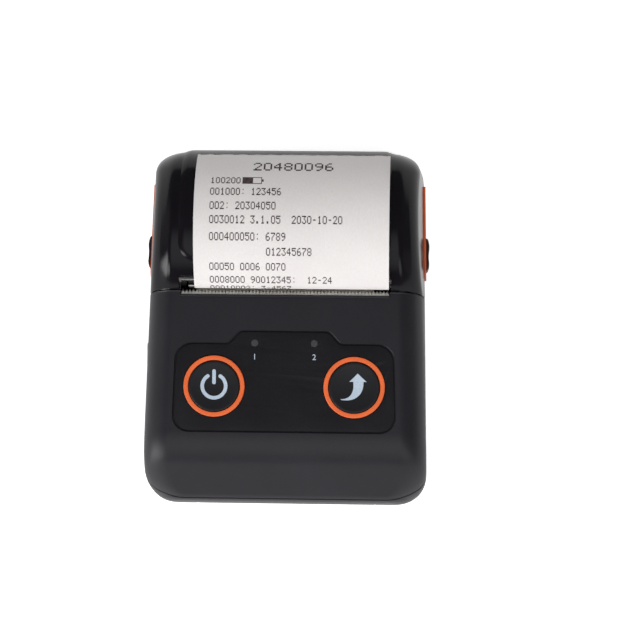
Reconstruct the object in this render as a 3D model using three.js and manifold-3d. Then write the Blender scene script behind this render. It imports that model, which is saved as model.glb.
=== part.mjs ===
// A portable receipt printer: a clamshell case with a hinged paper lid, two ringed keys,
// side release levers and the whole print mechanism inside.
// Millimetres, +Z up. The front faces -Y, the lid's hinge runs along X at the rear, and the
// origin is on the ground in the middle of the footprint.

import * as THREE from 'three';
import { mergeVertices } from 'three/addons/utils/BufferGeometryUtils.js';
import Module from 'manifold-3d';

const wasm = await Module();
wasm.setup();

// Case
const sideRoom = 11.75;
const widthTaper = 4;
const caseWall = 1.8;
const lidWall = 2;
const feetHeight = 0.8;
const partingHeight = 15;
const frontCornerRadius = 10;
const rearCornerRadius = 9;
const shoulderRadius = 8;
const bottomEdgeRadius = 5;
const frontBottomRadius = 6;
const rearBottomRadius = 12;
const smallestEdge = 0.5;

// Side profile of the case: nose, front slope, deck and the hump over the paper roll
const lidRoom = 4;
const lidFrontRun = 3.96;
const deckRun = 46.56;
const deckSlope = THREE.MathUtils.degToRad(8);
const noseSlope = THREE.MathUtils.degToRad(50);
const browSetback = 13.4;
const browRadius = 15;
const noseRadius = 8;

// Gaps that the whole printer shares
const seamGap = 0.3;
const fitGap = 0.3;
const runningGap = 0.1;
const slotGap = 0.5;
const overrun = 4;

// Keypad
const panelFromBrow = 5.7;
const panelFromSide = 9.45;
const panelTaper = 2;
const panelLength = 25.5;
const panelRecess = 0.9;
const panelSink = 0.2;
const panelCornerRadius = 5;
const panelTabWidth = 25.8;
const panelTabFootWidth = 32.4;
const panelTabLength = 3.7;
const panelTabRadius = 2.4;
const keyFromPanelSide = 11.2;
const keyBehindPanelMiddle = 0.35;
const keyRadius = 7.6;
const keyHeight = 3.5;
const keySwitchSlack = 0.1;
const keyProud = 0.5;
const keyDish = 0.45;
const keyTravel = 0.5;
const keyFlangeWidth = 0.9;
const keyFlangeThickness = 0.8;
const keyStemRadius = 2;
const ringInnerRadius = 7.85;
const ringOuterRadius = 9;
const ringProud = 0.35;
const lightSpacing = 17.5;
const lightBehindPanel = 0.4;
const lightRadius = 1;
const deckPostRadius = 1.8;
const deckPostSpacing = 55;

// Circuit board, in depth below the deck
const boardDepth = 7;
const boardThickness = 1.2;
const boardWidth = 58;
const boardLength = 33;
const boardFront = -2;
const usbWidth = 7.5;
const usbHeight = 2.8;
const usbDepth = 5.6;
const usbShell = 0.4;
const usbFromPanelFront = 22;
const switchSize = 6;
const switchHeight = 2.5;
const switchPlungerRadius = 1.5;
const switchPlungerHeight = 0.5;
const chipHeight = 1.1;
const connectorHeight = 2.2;

// Paper, roll and bin
const paperWidth = 57;
const paperThickness = 0.3;
const stripShift = 1.4;
const rollClearance = 4;
const coreOuterRadius = 7;
const coreInnerRadius = 6;
const binRadius = 20;
const binWall = 1;
const binFrontAngle = THREE.MathUtils.degToRad(198);
const binRearAngle = THREE.MathUtils.degToRad(345);
const binCheekRadius = 9;
const binRibThickness = 1.5;
const binRibSpacing = 37.5;
const binRibHalfAngle = THREE.MathUtils.degToRad(34);
const stripEndAngle = THREE.MathUtils.degToRad(27);
const stripBendRadius = 6;
const stripToothPitch = 2;
const stripToothDepth = 0.8;

// Print mechanism
const platenFromHumpAxis = 14.6;
const platenRise = 10;
const platenRadius = 3.6;
const platenOverhang = 0.2;
const platenShaftRadius = 1.5;
const bushRadius = 2.6;
const bushFlangeRadius = 3.3;
const bushFlangeWidth = 0.6;
const frameArmFromPaper = 0.8;
const frameArmWidth = 1.4;
const frameArmRadius = 3.8;
const frameBandWidth = 2;
const frameBandStart = THREE.MathUtils.degToRad(96);
const frameBandEnd = THREE.MathUtils.degToRad(134);
const chassisFromPaper = 2.6;
const chassisWall = 1;
const chassisBeforePlaten = 20.6;
const chassisBehindPlaten = 5.6;
const chassisBottomZ = 10;
const chassisTopRise = 1.8;
const webBeforePlaten = 11.2;
const chassisWebHeight = 9;
const sensorTabSink = 2.1;
const headHeight = 8.5;
const headThickness = 1;
const headMargin = 2.5;
const heatsinkThickness = 2.8;
const headBelowPlaten = 8;
const pivotBeforePlaten = 7.1;
const pivotBelowPlaten = 9;
const headPivotRadius = 0.8;
const headLugWidth = 3;
const headLugSpacing = 44;
const headLugRadius = 1.7;
const headSpringSpacing = 30;
const headSpringRadius = 1.5;
const springWire = 0.3;
const springTurns = 2;
const springSteps = 8;
const springSides = 5;
const sensorWidth = 4.2;
const sensorHeight = 2.4;
const sensorDepth = 1.6;
const sensorX = 4;
const flexWidth = 20;
const flexX = -15;
const flexThickness = 0.3;
const flexBendRadius = 1.1;

// Gear train: platen gear, two-step reduction gear and motor pinion
const gearModule = 0.55;
const platenTeeth = 12;
const smallWheelTeeth = 18;
const largeWheelTeeth = 32;
const pinionTeeth = 12;
const gearBacklash = 0.25;
const innerWheelFromChassis = 2;
const innerWheelWidth = 1.5;
const wheelGap = 0.2;
const outerWheelWidth = 1;
const axleRadius = 1;
const motorBeforePlaten = 12;
const motorRadius = 6;
const motorLength = 19;
const motorBossRadius = 2.4;
const motorShaftRadius = 0.75;

// Paper slit and tear bar
const slitMargin = 2.7;
const lidNotchDepth = 3.44;
const guideBarDepth = 0.8;
const guideBarHeight = 1.8;
const guideBarRise = 5.8;
const guideBarRadius = 0.33;
const tearBarMargin = 2;
const tearBarDepth = 1.6;
const tearBarThickness = 0.7;
const tearBarSink = 0.4;
const tearToothPitch = 1;
const tearToothDepth = 0.75;
const tearTipsFromSeam = 0.35;

// Raised pod on the lid, over the roll
const podWidth = 61.4;
const podRise = 0.5;
const podFromSeam = 7.4;
const podCornerRadius = 5;

// Lid hinge
const hingeFromRear = 2.7;
const hingeRise = 2;
const hingePinRadius = 1;
const knuckleRadius = 2.6;
const centreKnuckleWidth = 53.2;
const hingeFromSide = 3;
const rearEdgeRise = 3.1;

// Release levers and side inlays
const sideEdgeRise = 0.05;
const lidCornerRadius = 4;
const inlayFromSeam = 6.44;
const inlayBehindHumpAxis = 14.8;
const inlayBelowEdge = 1.25;
const inlayHeight = 6.2;
const inlayThickness = 0.9;
const inlayProud = 0.35;
const inlayRearRadius = 0.8;
const leverFromInlayFront = 2.2;
const leverLength = 10.4;
const leverHeight = 4.8;
const leverCornerRadius = 1.6;
const leverDepth = 4;
const leverProud = 0.64;
const leverBulge = 1.3;
const leverDishRadius = 14;
const leverDishDepth = 0.55;
const leverArmFromEdge = 4.45;
const leverArmThickness = 1.2;
const leverPinFromEdge = 4.2;
const leverPinFromTab = 1.8;
const leverPinRadius = 0.7;
const leverPinLength = 7.4;
const leverBossRadius = 1.5;

// Battery, its cover and contacts
const cellRadius = 9;
const batteryLength = 58;
const cellFromFront = 16;
const cellZ = 13.3;
const coverLap = 2;
const coverBehindBattery = 1.5;
const coverLipZ = 7;
const coverRailWidth = 1.2;
const coverRailHeight = 0.8;
const railBeforeCell = 3;
const railLength = 28;
const contactWidth = 14;
const contactHeight = 7;
const contactDepth = 2.4;

// Feet and case screws
const footRadius = 2.8;
const footFromBattery = 2.5;
const frontFootFromFront = 12;
const rearFootBehindAxis = 10.4;
const frontScrewFromBattery = 3.5;
const frontScrewFromFront = 23;
const rearScrewFromSide = 6.85;
const rearScrewBehindAxis = 3.6;
const bossRadius = 2.4;
const screwShankRadius = 0.85;
const screwLength = 13;
const screwHeadRadius = 1.8;
const screwHeadHeight = 1.3;
const screwHeadSink = 2.4;
const screwHoleRadius = 0.95;

// Shares of a size that a detail takes
const nipRiseShare = 0.75;
const inlayRoundShare = 0.45;
const leverReachShare = 0.75;
const dishWidthShare = 0.6;
const dishDepthShare = 0.7;
const cellRoundShare = 0.98;

// Facet counts
const roundFacets = 14;
const ringFacets = 20;
const fineFacets = 12;
const cornerFacets = 3;
const arcFacets = 4;
const longArcFacets = 9;
const pathFacets = 9;
const humpStations = 9;
const noseStations = 4;

// Places that the sizes above give
const rightAngle = Math.PI / 2;
const humpRadius = binRadius + lidRoom;
const humpAxisZ = humpRadius;
const seamFromHumpAxis = humpRadius - lidFrontRun;
const rollRadius = binRadius - rollClearance;
const rearWidth = paperWidth + 2 * sideRoom;
const frontWidth = rearWidth + widthTaper;
const caseDepth = browSetback + deckRun + seamFromHumpAxis + humpRadius;
const halfDepth = caseDepth / 2;
const humpAxisY = halfDepth - humpRadius;
const seamY = humpAxisY - seamFromHumpAxis;
const humpRise = Math.sqrt(humpRadius ** 2 - (humpAxisY - seamY) ** 2);
const seamZ = humpAxisZ + humpRise;
const browY = browSetback - halfDepth;
const panelFrontY = browY + panelFromBrow;
const panelFrontWidth = frontWidth - 2 * panelFromSide;
const panelRearWidth = panelFrontWidth - panelTaper;
const keyFromPanelFront = panelLength / 2 + keyBehindPanelMiddle;
const lightFromPanelFront = panelLength + lightBehindPanel;
const keySpacing = panelRearWidth - 2 * keyFromPanelSide;
const browZ = seamZ + (browY - seamY) * Math.tan(deckSlope);
const widest = frontWidth + caseDepth;
const paperX = paperWidth / 2;
const platenY = humpAxisY - platenFromHumpAxis;
const platenZ = humpAxisZ + platenRise;
const chassisTopZ = platenZ + chassisTopRise;
const chassisWebTopZ = platenZ;
const chassisWebBottomZ = platenZ - chassisWebHeight;
const headBottomZ = platenZ - headBelowPlaten;
const headPivotZ = platenZ - pivotBelowPlaten;
const guideBarTopZ = platenZ + guideBarRise;
const hingeZ = humpAxisZ + hingeRise;
const sideEdgeZ = humpAxisZ + sideEdgeRise;
const inlayTopZ = sideEdgeZ - inlayBelowEdge;
const inlayBottomZ = inlayTopZ - inlayHeight;
const platenLength = paperWidth + 2 * platenOverhang;
const frameArmInner = paperX + frameArmFromPaper;
const chassisInner = paperX + chassisFromPaper;
const chassisFrontY = platenY - chassisBeforePlaten;
const chassisRearY = platenY + chassisBehindPlaten;
const chassisWebY = platenY - webBeforePlaten;
const headLength = paperWidth - 2 * headMargin;
const headPivotY = platenY - pivotBeforePlaten;
const innerWheelX = chassisInner + innerWheelFromChassis;
const outerWheelX = innerWheelX + innerWheelWidth + wheelGap;
const motorY = platenY - motorBeforePlaten;
const slitWidth = paperWidth + 2 * slitMargin;
const lidNotchY = seamY + lidNotchDepth;
const tearBarLength = paperWidth + 2 * tearBarMargin;
const hingeY = halfDepth - hingeFromRear;
const hingeWidth = rearWidth - 2 * hingeFromSide;
const inlayFrontY = seamY + inlayFromSeam;
const inlayRearY = humpAxisY + inlayBehindHumpAxis;
const leverFrontY = inlayFrontY + leverFromInlayFront;
const leverMidY = leverFrontY + leverLength / 2;
const sideAtLever = THREE.MathUtils.mapLinear(
  leverMidY, -halfDepth, halfDepth, frontWidth / 2, rearWidth / 2);
const leverEdgeX = sideAtLever + leverProud;
const leverInnerX = leverEdgeX - leverDepth;
const leverArmX = leverEdgeX - leverArmFromEdge;
const leverPinX = leverEdgeX - leverPinFromEdge;
const leverPinY = leverFrontY + leverLength + leverPinFromTab;
const frontCellY = cellFromFront - halfDepth;
const rearCellY = frontCellY + 2 * cellRadius;
const coverRearY = rearCellY + cellRadius + coverBehindBattery;
const coverRailFrontY = frontCellY - railBeforeCell;
const coverRailRearY = coverRailFrontY + railLength;
const coverWidth = batteryLength - 2 * coverLap;
const footX = batteryLength / 2 + footFromBattery;
const frontFootY = frontFootFromFront - halfDepth;
const rearFootY = humpAxisY + rearFootBehindAxis;
const frontScrewX = batteryLength / 2 + frontScrewFromBattery;
const frontScrewY = frontScrewFromFront - halfDepth;
const rearScrewX = rearWidth / 2 - rearScrewFromSide;
const rearScrewY = humpAxisY + rearScrewBehindAxis;
const nipY = platenY - platenRadius;
const webRearY = nipY - runningGap * 2;
const webFrontY = webRearY - paperThickness;
const panelFrontZ = seamZ + (panelFrontY - seamY) * Math.tan(deckSlope);
const seamFromPanelFront = (seamY - panelFrontY) / Math.cos(deckSlope);

// Solids and geometries

function withoutSlivers(indexed) {
  const corners = indexed.index.array;
  const kept = [];
  for (let i = 0; i < corners.length; i += 3) {
    const [a, b, c] = [corners[i], corners[i + 1], corners[i + 2]];
    if (a !== b && b !== c && c !== a) kept.push(a, b, c);
  }
  return kept;
}

function solidOf(geometry) {
  const bare = geometry.clone();
  bare.deleteAttribute('normal');
  bare.deleteAttribute('uv');
  const merged = mergeVertices(bare);
  return new wasm.Manifold(new wasm.Mesh({
    numProp: 3,
    vertProperties: new Float32Array(merged.attributes.position.array),
    triVerts: new Uint32Array(withoutSlivers(merged)),
  }));
}

function geometryOf(solid) {
  const data = solid.getMesh();
  const geometry = new THREE.BufferGeometry();
  geometry.setAttribute('position', new THREE.BufferAttribute(data.vertProperties, 3));
  geometry.setIndex(new THREE.BufferAttribute(data.triVerts, 1));
  const flat = geometry.toNonIndexed();
  flat.computeVertexNormals();
  return flat;
}

function joined(solids) {
  return solids.reduce((sum, next) => sum.add(next));
}

function cutBy(solid, cutters) {
  return cutters.reduce((rest, next) => rest.subtract(next), solid);
}

// The same solid on the other side of the printer
function mirrored(geometry) {
  const copy = geometry.clone().scale(-1, 1, 1);
  const corners = copy.attributes.position;
  for (let i = 0; i < corners.count; i += 3) {
    const [x, y, z] = [corners.getX(i), corners.getY(i), corners.getZ(i)];
    corners.setXYZ(i, corners.getX(i + 1), corners.getY(i + 1), corners.getZ(i + 1));
    corners.setXYZ(i + 1, x, y, z);
  }
  copy.computeVertexNormals();
  return copy;
}

// Basic shapes, each given by its limits

function block(x0, x1, y0, y1, z0, z1) {
  const box = new THREE.BoxGeometry(x1 - x0, y1 - y0, z1 - z0);
  return solidOf(box.translate((x0 + x1) / 2, (y0 + y1) / 2, (z0 + z1) / 2));
}

// A rod along X between two places
function rodX(radius, x0, x1, y, z, facets = roundFacets) {
  const rod = new THREE.CylinderGeometry(radius, radius, x1 - x0, facets);
  return solidOf(rod.rotateZ(rightAngle).translate((x0 + x1) / 2, y, z));
}

// A rod along Z between two heights
function rodZ(radius, x, y, z0, z1, facets = roundFacets) {
  const rod = new THREE.CylinderGeometry(radius, radius, z1 - z0, facets);
  return solidOf(rod.rotateX(rightAngle).translate(x, y, (z0 + z1) / 2));
}

// An outline drawn in Y and Z, as thick along X as its two limits say
function plateX(outline, x0, x1, facets = arcFacets) {
  const plate = new THREE.ExtrudeGeometry(outline, {
    depth: x1 - x0, bevelEnabled: false, curveSegments: facets,
  });
  const turn = new THREE.Matrix4().makeBasis(
    new THREE.Vector3(0, 1, 0), new THREE.Vector3(0, 0, 1), new THREE.Vector3(1, 0, 0));
  return solidOf(plate.applyMatrix4(turn).translate(x0, 0, 0));
}

// An outline drawn in X and Y, between two heights
function plateZ(outline, z0, z1, facets = arcFacets) {
  const plate = new THREE.ExtrudeGeometry(outline, {
    depth: z1 - z0, bevelEnabled: false, curveSegments: facets,
  });
  return solidOf(plate.translate(0, 0, z0));
}

// A closed outline with a round of its own at each corner: [x, y, radius]
function roundedOutline(corners) {
  const outline = new THREE.Shape();
  corners.forEach(([x, y, radius], i) => {
    const here = new THREE.Vector2(x, y);
    const before = corners[(i + corners.length - 1) % corners.length];
    const after = corners[(i + 1) % corners.length];
    const back = new THREE.Vector2(before[0], before[1]).sub(here).normalize();
    const on = new THREE.Vector2(after[0], after[1]).sub(here).normalize();
    const place = i ? 'lineTo' : 'moveTo';
    if (!radius) {
      outline[place](x, y);
      return;
    }
    const half = Math.acos(THREE.MathUtils.clamp(back.dot(on), -1, 1)) / 2;
    const reach = radius / Math.tan(half);
    const first = back.clone().multiplyScalar(reach).add(here);
    const last = on.clone().multiplyScalar(reach).add(here);
    const centre = back.clone().add(on).normalize();
    centre.multiplyScalar(radius / Math.sin(half)).add(here);
    outline[place](first.x, first.y);
    outline.absarc(centre.x, centre.y, radius,
      Math.atan2(first.y - centre.y, first.x - centre.x),
      Math.atan2(last.y - centre.y, last.x - centre.x),
      back.cross(on) > 0);
  });
  outline.closePath();
  return outline;
}

function boxOutline(x0, x1, y0, y1, radius) {
  return roundedOutline([[x0, y0, radius], [x1, y0, radius], [x1, y1, radius], [x0, y1, radius]]);
}

// Case form: sections across the printer, lofted along it.
// An inset of zero gives the outer skin, and a wall's thickness its inner skin.

function slopeHeight(y, inset) {
  return browZ + (y - browY) * Math.tan(noseSlope) - inset / Math.cos(noseSlope);
}

function deckHeight(y, inset) {
  return seamZ + (y - seamY) * Math.tan(deckSlope) - inset / Math.cos(deckSlope);
}

// Centre and two ends, as Y and Z, of the round between the deck and the front slope
function browArc(inset) {
  const radius = browRadius - inset;
  const lift = inset / Math.cos(noseSlope) - inset / Math.cos(deckSlope);
  const y = browY + lift / (Math.tan(noseSlope) - Math.tan(deckSlope));
  const reach = radius * Math.tan((noseSlope - deckSlope) / 2);
  const start = y - reach * Math.cos(noseSlope);
  const end = y + reach * Math.cos(deckSlope);
  return {
    radius, start, end,
    y: end + radius * Math.sin(deckSlope),
    z: deckHeight(end, inset) - radius * Math.cos(deckSlope),
  };
}

function noseArc(inset) {
  const radius = noseRadius - inset;
  const face = inset - halfDepth;
  const reach = radius * Math.tan((rightAngle - noseSlope) / 2);
  return {
    radius,
    end: face + reach * Math.cos(noseSlope),
    y: face + radius,
    z: slopeHeight(face, inset) - reach,
  };
}

function arcHeight(arc, y) {
  return arc.z + Math.sqrt(Math.max(arc.radius ** 2 - (y - arc.y) ** 2, 0));
}

function topHeight(y, inset) {
  const radius = humpRadius - inset;
  const hump = humpAxisZ + Math.sqrt(Math.max(radius ** 2 - (y - humpAxisY) ** 2, 0));
  const brow = browArc(inset);
  const nose = noseArc(inset);
  if (y < nose.end) return arcHeight(nose, y);
  if (y < brow.start) return slopeHeight(y, inset);
  if (y < brow.end) return arcHeight(brow, y);
  if (y > humpAxisY) return hump;
  return y < humpAxisY - radius ? deckHeight(y, inset) : Math.max(deckHeight(y, inset), hump);
}

function bottomHeight(y, inset) {
  const floor = feetHeight + inset;
  const [front, rear] = [frontBottomRadius - inset, rearBottomRadius - inset];
  const [frontY, rearY] = [frontBottomRadius - halfDepth, halfDepth - rearBottomRadius];
  if (y < frontY) return floor + front - Math.sqrt(Math.max(front ** 2 - (frontY - y) ** 2, 0));
  if (y > rearY) return floor + rear - Math.sqrt(Math.max(rear ** 2 - (y - rearY) ** 2, 0));
  return floor;
}

function halfWidthAt(y, inset) {
  const straight = THREE.MathUtils.mapLinear(
    y, -halfDepth, halfDepth, frontWidth / 2, rearWidth / 2) - inset;
  const [front, rear] = [frontCornerRadius - inset, rearCornerRadius - inset];
  const [frontY, rearY] = [frontCornerRadius - halfDepth, halfDepth - rearCornerRadius];
  if (y < frontY) return straight - front + Math.sqrt(Math.max(front ** 2 - (frontY - y) ** 2, 0));
  if (y > rearY) return straight - rear + Math.sqrt(Math.max(rear ** 2 - (y - rearY) ** 2, 0));
  return straight;
}

// Where the deck's skin meets the hump's
function valleyY(inset) {
  const slope = Math.tan(deckSlope);
  const radius = humpRadius - inset;
  const rise = deckHeight(humpAxisY, inset) - humpAxisZ;
  const square = slope ** 2 * rise ** 2 - (1 + slope ** 2) * (rise ** 2 - radius ** 2);
  return humpAxisY + (-slope * rise - Math.sqrt(square)) / (1 + slope ** 2);
}

function stationsOf(inset) {
  const start = inset - halfDepth;
  const noseReach = frontCornerRadius - inset;
  const brow = browArc(inset);
  const valley = valleyY(inset);
  const radius = humpRadius - inset;
  const firstAngle = Math.acos((humpAxisY - valley) / radius);
  const stations = [];
  for (let i = 0; i <= noseStations; i += 1) {
    stations.push(start + noseReach * (1 - Math.cos(rightAngle * i / noseStations)));
  }
  stations.push((brow.start + brow.end) / 2, brow.end, panelFrontY + panelLength / 2);
  for (let i = 0; i <= humpStations; i += 1) {
    const angle = firstAngle + (Math.PI - firstAngle) * i / humpStations;
    stations.push(humpAxisY - radius * Math.cos(angle));
  }
  return stations;
}

// Corner points of one section, in turn from the bottom right round by the top
function sectionAt(y, inset) {
  const half = halfWidthAt(y, inset);
  const [low, high] = [bottomHeight(y, inset), topHeight(y, inset)];
  const wanted = shoulderRadius + bottomEdgeRadius - 2 * inset;
  const share = Math.min(1, (high - low - smallestEdge) / wanted);
  const shoulder = (shoulderRadius - inset) * share;
  const bottom = (bottomEdgeRadius - inset) * share;
  const rounds = [
    [half - bottom, low + bottom, bottom, -rightAngle],
    [half - shoulder, high - shoulder, shoulder, 0],
    [shoulder - half, high - shoulder, shoulder, rightAngle],
    [bottom - half, low + bottom, bottom, Math.PI],
  ];
  return rounds.flatMap(([x, z, radius, from]) => {
    const points = [];
    for (let i = 0; i <= cornerFacets; i += 1) {
      const angle = from + rightAngle * i / cornerFacets;
      points.push(new THREE.Vector3(x + radius * Math.cos(angle), y, z + radius * Math.sin(angle)));
    }
    return points;
  });
}

function bodySolid(inset) {
  const rings = stationsOf(inset).map((y) => sectionAt(y, inset));
  const count = rings[0].length;
  const index = [];
  for (let i = 0; i + 1 < rings.length; i += 1) {
    for (let j = 0; j < count; j += 1) {
      const [a, b] = [i * count + j, i * count + (j + 1) % count];
      index.push(a, a + count, b + count, a, b + count, b);
    }
  }
  const last = (rings.length - 1) * count;
  for (let j = 1; j + 1 < count; j += 1) {
    index.push(0, j, j + 1, last, last + j + 1, last + j);
  }
  const geometry = new THREE.BufferGeometry().setFromPoints(rings.flat());
  geometry.setIndex(index);
  return solidOf(geometry);
}

const outerBody = bodySolid(0);
const caseCavity = bodySolid(caseWall);
const caseMiddle = bodySolid(caseWall / 2);
const lidCavity = bodySolid(lidWall);

// The printer, and the frame of its sloping deck: X across, Y up the slope, Z out of it

const printer = new THREE.Group();
const deck = new THREE.Group();
deck.position.set(0, panelFrontY, panelFrontZ);
deck.rotation.x = deckSlope;
printer.add(deck);
deck.updateMatrixWorld(true);

// Y and Z of a place given by its way up the deck and its height over it
function deckPoint(up, over) {
  return new THREE.Vector2(
    panelFrontY + up * Math.cos(deckSlope) - over * Math.sin(deckSlope),
    panelFrontZ + up * Math.sin(deckSlope) + over * Math.cos(deckSlope));
}

function fromDeck(solid) {
  return solidOf(geometryOf(solid).applyMatrix4(deck.matrixWorld));
}

function finish(color, roughness, metalness = 0) {
  return new THREE.MeshStandardMaterial({ color, roughness, metalness, flatShading: true });
}

function addPiece(name, shape, material, parent = printer) {
  const geometry = shape.isBufferGeometry ? shape : geometryOf(shape);
  const piece = new THREE.Mesh(geometry, material);
  piece.name = name;
  parent.add(piece);
  return piece;
}

function addPair(name, rightShape, makeMaterial) {
  const right = geometryOf(rightShape);
  addPiece(`${name}_left`, mirrored(right), makeMaterial());
  addPiece(`${name}_right`, right, makeMaterial());
}

const caseBlack = () => finish(0x1c1c1e, 0.62);
const innerBlack = () => finish(0x242426, 0.7);
const glossBlack = () => finish(0x101013, 0.22);
const orangePlastic = () => finish(0xe8641b, 0.45);
const paperWhite = () => finish(0xe9e6e1, 0.9);
const steel = () => finish(0xb4b6b8, 0.35, 1);
const rubber = () => finish(0x1a1a1a, 0.9);

// Keypad shapes in the deck's own frame

function panelOutline(grow) {
  const [front, rear] = [panelFrontWidth / 2 + grow, panelRearWidth / 2 + grow];
  const [tab, foot] = [panelTabWidth / 2 + grow, panelTabFootWidth / 2 + grow];
  const top = panelLength + grow;
  const tabTop = panelLength + panelTabLength + grow;
  return roundedOutline([
    [-front, -grow, panelCornerRadius], [front, -grow, panelCornerRadius],
    [rear, top, panelCornerRadius], [foot, top, panelTabRadius],
    [tab, tabTop, panelTabRadius], [-tab, tabTop, panelTabRadius],
    [-foot, top, panelTabRadius], [-rear, top, panelCornerRadius],
  ]);
}

const keyPlaces = [-keySpacing / 2, keySpacing / 2];
const lightPlaces = [-lightSpacing / 2, lightSpacing / 2];
const postRows = [lightFromPanelFront, 0];

function deckRod(radius, x, y, low, high, facets = roundFacets) {
  return rodZ(radius, x, y, low, high, facets);
}

function usbBox(grow) {
  const outer = frontWidth / 2 + overrun * (grow ? 1 : 0);
  const inner = frontWidth / 2 - usbDepth - 2 * caseWall;
  const top = -boardDepth - boardThickness - fitGap / 2 + grow;
  return block(-outer, -inner + grow, usbFromPanelFront - usbWidth / 2 - grow,
    usbFromPanelFront + usbWidth / 2 + grow, top - usbHeight - 2 * grow, top);
}

// Tear bar outline: a straight strip with a row of teeth towards the paper
function tearBarOutline() {
  const tips = seamFromPanelFront + tearTipsFromSeam;
  const roots = tips - tearToothDepth;
  const front = roots - tearBarDepth;
  const teeth = Math.round(tearBarLength / tearToothPitch);
  const pitch = tearBarLength / teeth;
  const outline = new THREE.Shape();
  outline.moveTo(-tearBarLength / 2, front);
  outline.lineTo(tearBarLength / 2, front);
  for (let i = 0; i < teeth; i += 1) {
    const x = tearBarLength / 2 - i * pitch;
    outline.lineTo(x, roots);
    outline.lineTo(x - pitch / 2, tips);
  }
  outline.lineTo(-tearBarLength / 2, roots);
  outline.closePath();
  return outline;
}

// Space in the case that the lid and its hinge sweep

function lidOutline(grow) {
  const front = seamY + seamGap / 2 - grow;
  const low = sideEdgeZ + seamGap / 2 - grow;
  const far = halfDepth + overrun;
  const high = 2 * humpAxisZ + overrun;
  return roundedOutline([
    [front, low, lidCornerRadius], [far, low, 0], [far, high, 0], [front, high, 0],
  ]);
}

// Lid

const armsInner = centreKnuckleWidth / 2 + fitGap;
const knuckleFrontY = hingeY - knuckleRadius - fitGap;
const lidRearEdgeZ = hingeZ + rearEdgeRise;

function lidShell() {
  const skin = outerBody.intersect(plateX(lidOutline(0), -widest, widest)).subtract(lidCavity);
  const belowPin = block(-widest, widest, knuckleFrontY, widest, -widest, hingeZ);
  const overCentre = block(-armsInner, armsInner, knuckleFrontY - fitGap, widest,
    -widest, lidRearEdgeZ);
  const notch = block(-slitWidth / 2, slitWidth / 2, -widest, lidNotchY, -widest, widest);
  const podFront = seamY + podFromSeam;
  const pod = bodySolid(-podRise).subtract(lidCavity).intersect(plateZ(roundedOutline([
    [-podWidth / 2, podFront, podCornerRadius], [podWidth / 2, podFront, podCornerRadius],
    [podWidth / 2, halfDepth, 0], [-podWidth / 2, halfDepth, 0],
  ]), lidRearEdgeZ, widest));
  const shell = cutBy(skin.add(pod), [belowPin, overCentre, notch]);
  const arms = [-1, 1].map((side) => {
    const [inner, outer] = [side * armsInner, side * hingeWidth / 2];
    const rod = rodX(knuckleRadius, Math.min(inner, outer), Math.max(inner, outer), hingeY, hingeZ);
    return rod.intersect(outerBody);
  });
  const bore = rodX(hingePinRadius + runningGap, -widest, widest, hingeY, hingeZ);
  return joined([shell, ...arms]).subtract(bore);
}

addPiece('lid_shell', lidShell(), glossBlack());

// The frame in the lid that carries the platen: a curved band with two hooked arms
function lidFrame() {
  const outer = humpRadius - lidWall - fitGap;
  const inner = outer - frameBandWidth;
  const [low, high] = [frameBandStart, frameBandEnd];
  const band = new THREE.Shape();
  band.absarc(humpAxisY, humpAxisZ, outer, low, high, false);
  band.absarc(humpAxisY, humpAxisZ, inner, high, low, true);
  band.closePath();
  const frame = [plateX(band, -frameArmInner - frameArmWidth, frameArmInner + frameArmWidth)];
  const bushHole = rodX(bushRadius + runningGap, -widest, widest, platenY, platenZ);
  const mouth = block(-widest, widest, platenY - bushRadius, platenY + bushRadius,
    platenZ - frameArmRadius - overrun, platenZ - bushRadius * Math.SQRT1_2);
  for (const side of [-1, 1]) {
    const [x0, x1] = side > 0
      ? [frameArmInner, frameArmInner + frameArmWidth]
      : [-frameArmInner - frameArmWidth, -frameArmInner];
    const neck = roundedOutline([
      [platenY - frameArmRadius * Math.SQRT1_2, platenZ, 0],
      [platenY + frameArmRadius, platenZ, 0],
      [humpAxisY + outer * Math.cos(low), humpAxisZ + outer * Math.sin(low), 0],
      [humpAxisY + outer * Math.cos(high), humpAxisZ + outer * Math.sin(high), 0],
    ]);
    const hook = rodX(frameArmRadius, x0, x1, platenY, platenZ);
    frame.push(cutBy(joined([hook, plateX(neck, x0, x1)]), [bushHole, mouth]));
  }
  return joined(frame);
}

addPiece('lid_frame', lidFrame(), innerBlack());

// The bar along the lid's edge that the paper slides over
const guideBarFront = lidNotchY - fitGap - guideBarDepth;
addPiece('lid_guide_bar', plateX(
  boxOutline(guideBarFront, guideBarFront + guideBarDepth, guideBarTopZ - guideBarHeight,
    guideBarTopZ, guideBarRadius),
  fitGap - slitWidth / 2, slitWidth / 2 - fitGap, cornerFacets), steel());

// Platen: shaft, rubber roller, gear and two bushes

const platen = new THREE.Group();
platen.position.set(0, platenY, platenZ);
printer.add(platen);

const innerWheelEnd = innerWheelX + innerWheelWidth;
const outerWheelEnd = outerWheelX + outerWheelWidth;
const bushInner = frameArmInner - runningGap;
const bushOuter = chassisInner + chassisWall + fitGap;

addPiece('platen_shaft',
  rodX(platenShaftRadius, -bushOuter - bushFlangeWidth, innerWheelEnd + runningGap, 0, 0),
  steel(), platen);

addPiece('platen_roller',
  rodX(platenRadius, -platenLength / 2, platenLength / 2, 0, 0, ringFacets)
    .subtract(rodX(platenShaftRadius + runningGap, -widest, widest, 0, 0)),
  rubber(), platen);

const bush = joined([
  rodX(bushRadius, bushInner, bushOuter + bushFlangeWidth / 2, platenY, platenZ),
  rodX(bushFlangeRadius, bushOuter, bushOuter + bushFlangeWidth, platenY, platenZ),
]).subtract(rodX(platenShaftRadius + runningGap, -widest, widest, platenY, platenZ));
addPair('platen_bush', bush, () => finish(0xd8d4c8, 0.5));

// Spur gears with tapered teeth, along X about their own axis
const toothRootShare = 0.27;
const toothTipShare = 0.12;
const addendumShare = 0.8;
const dedendumShare = 1.1;

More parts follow.
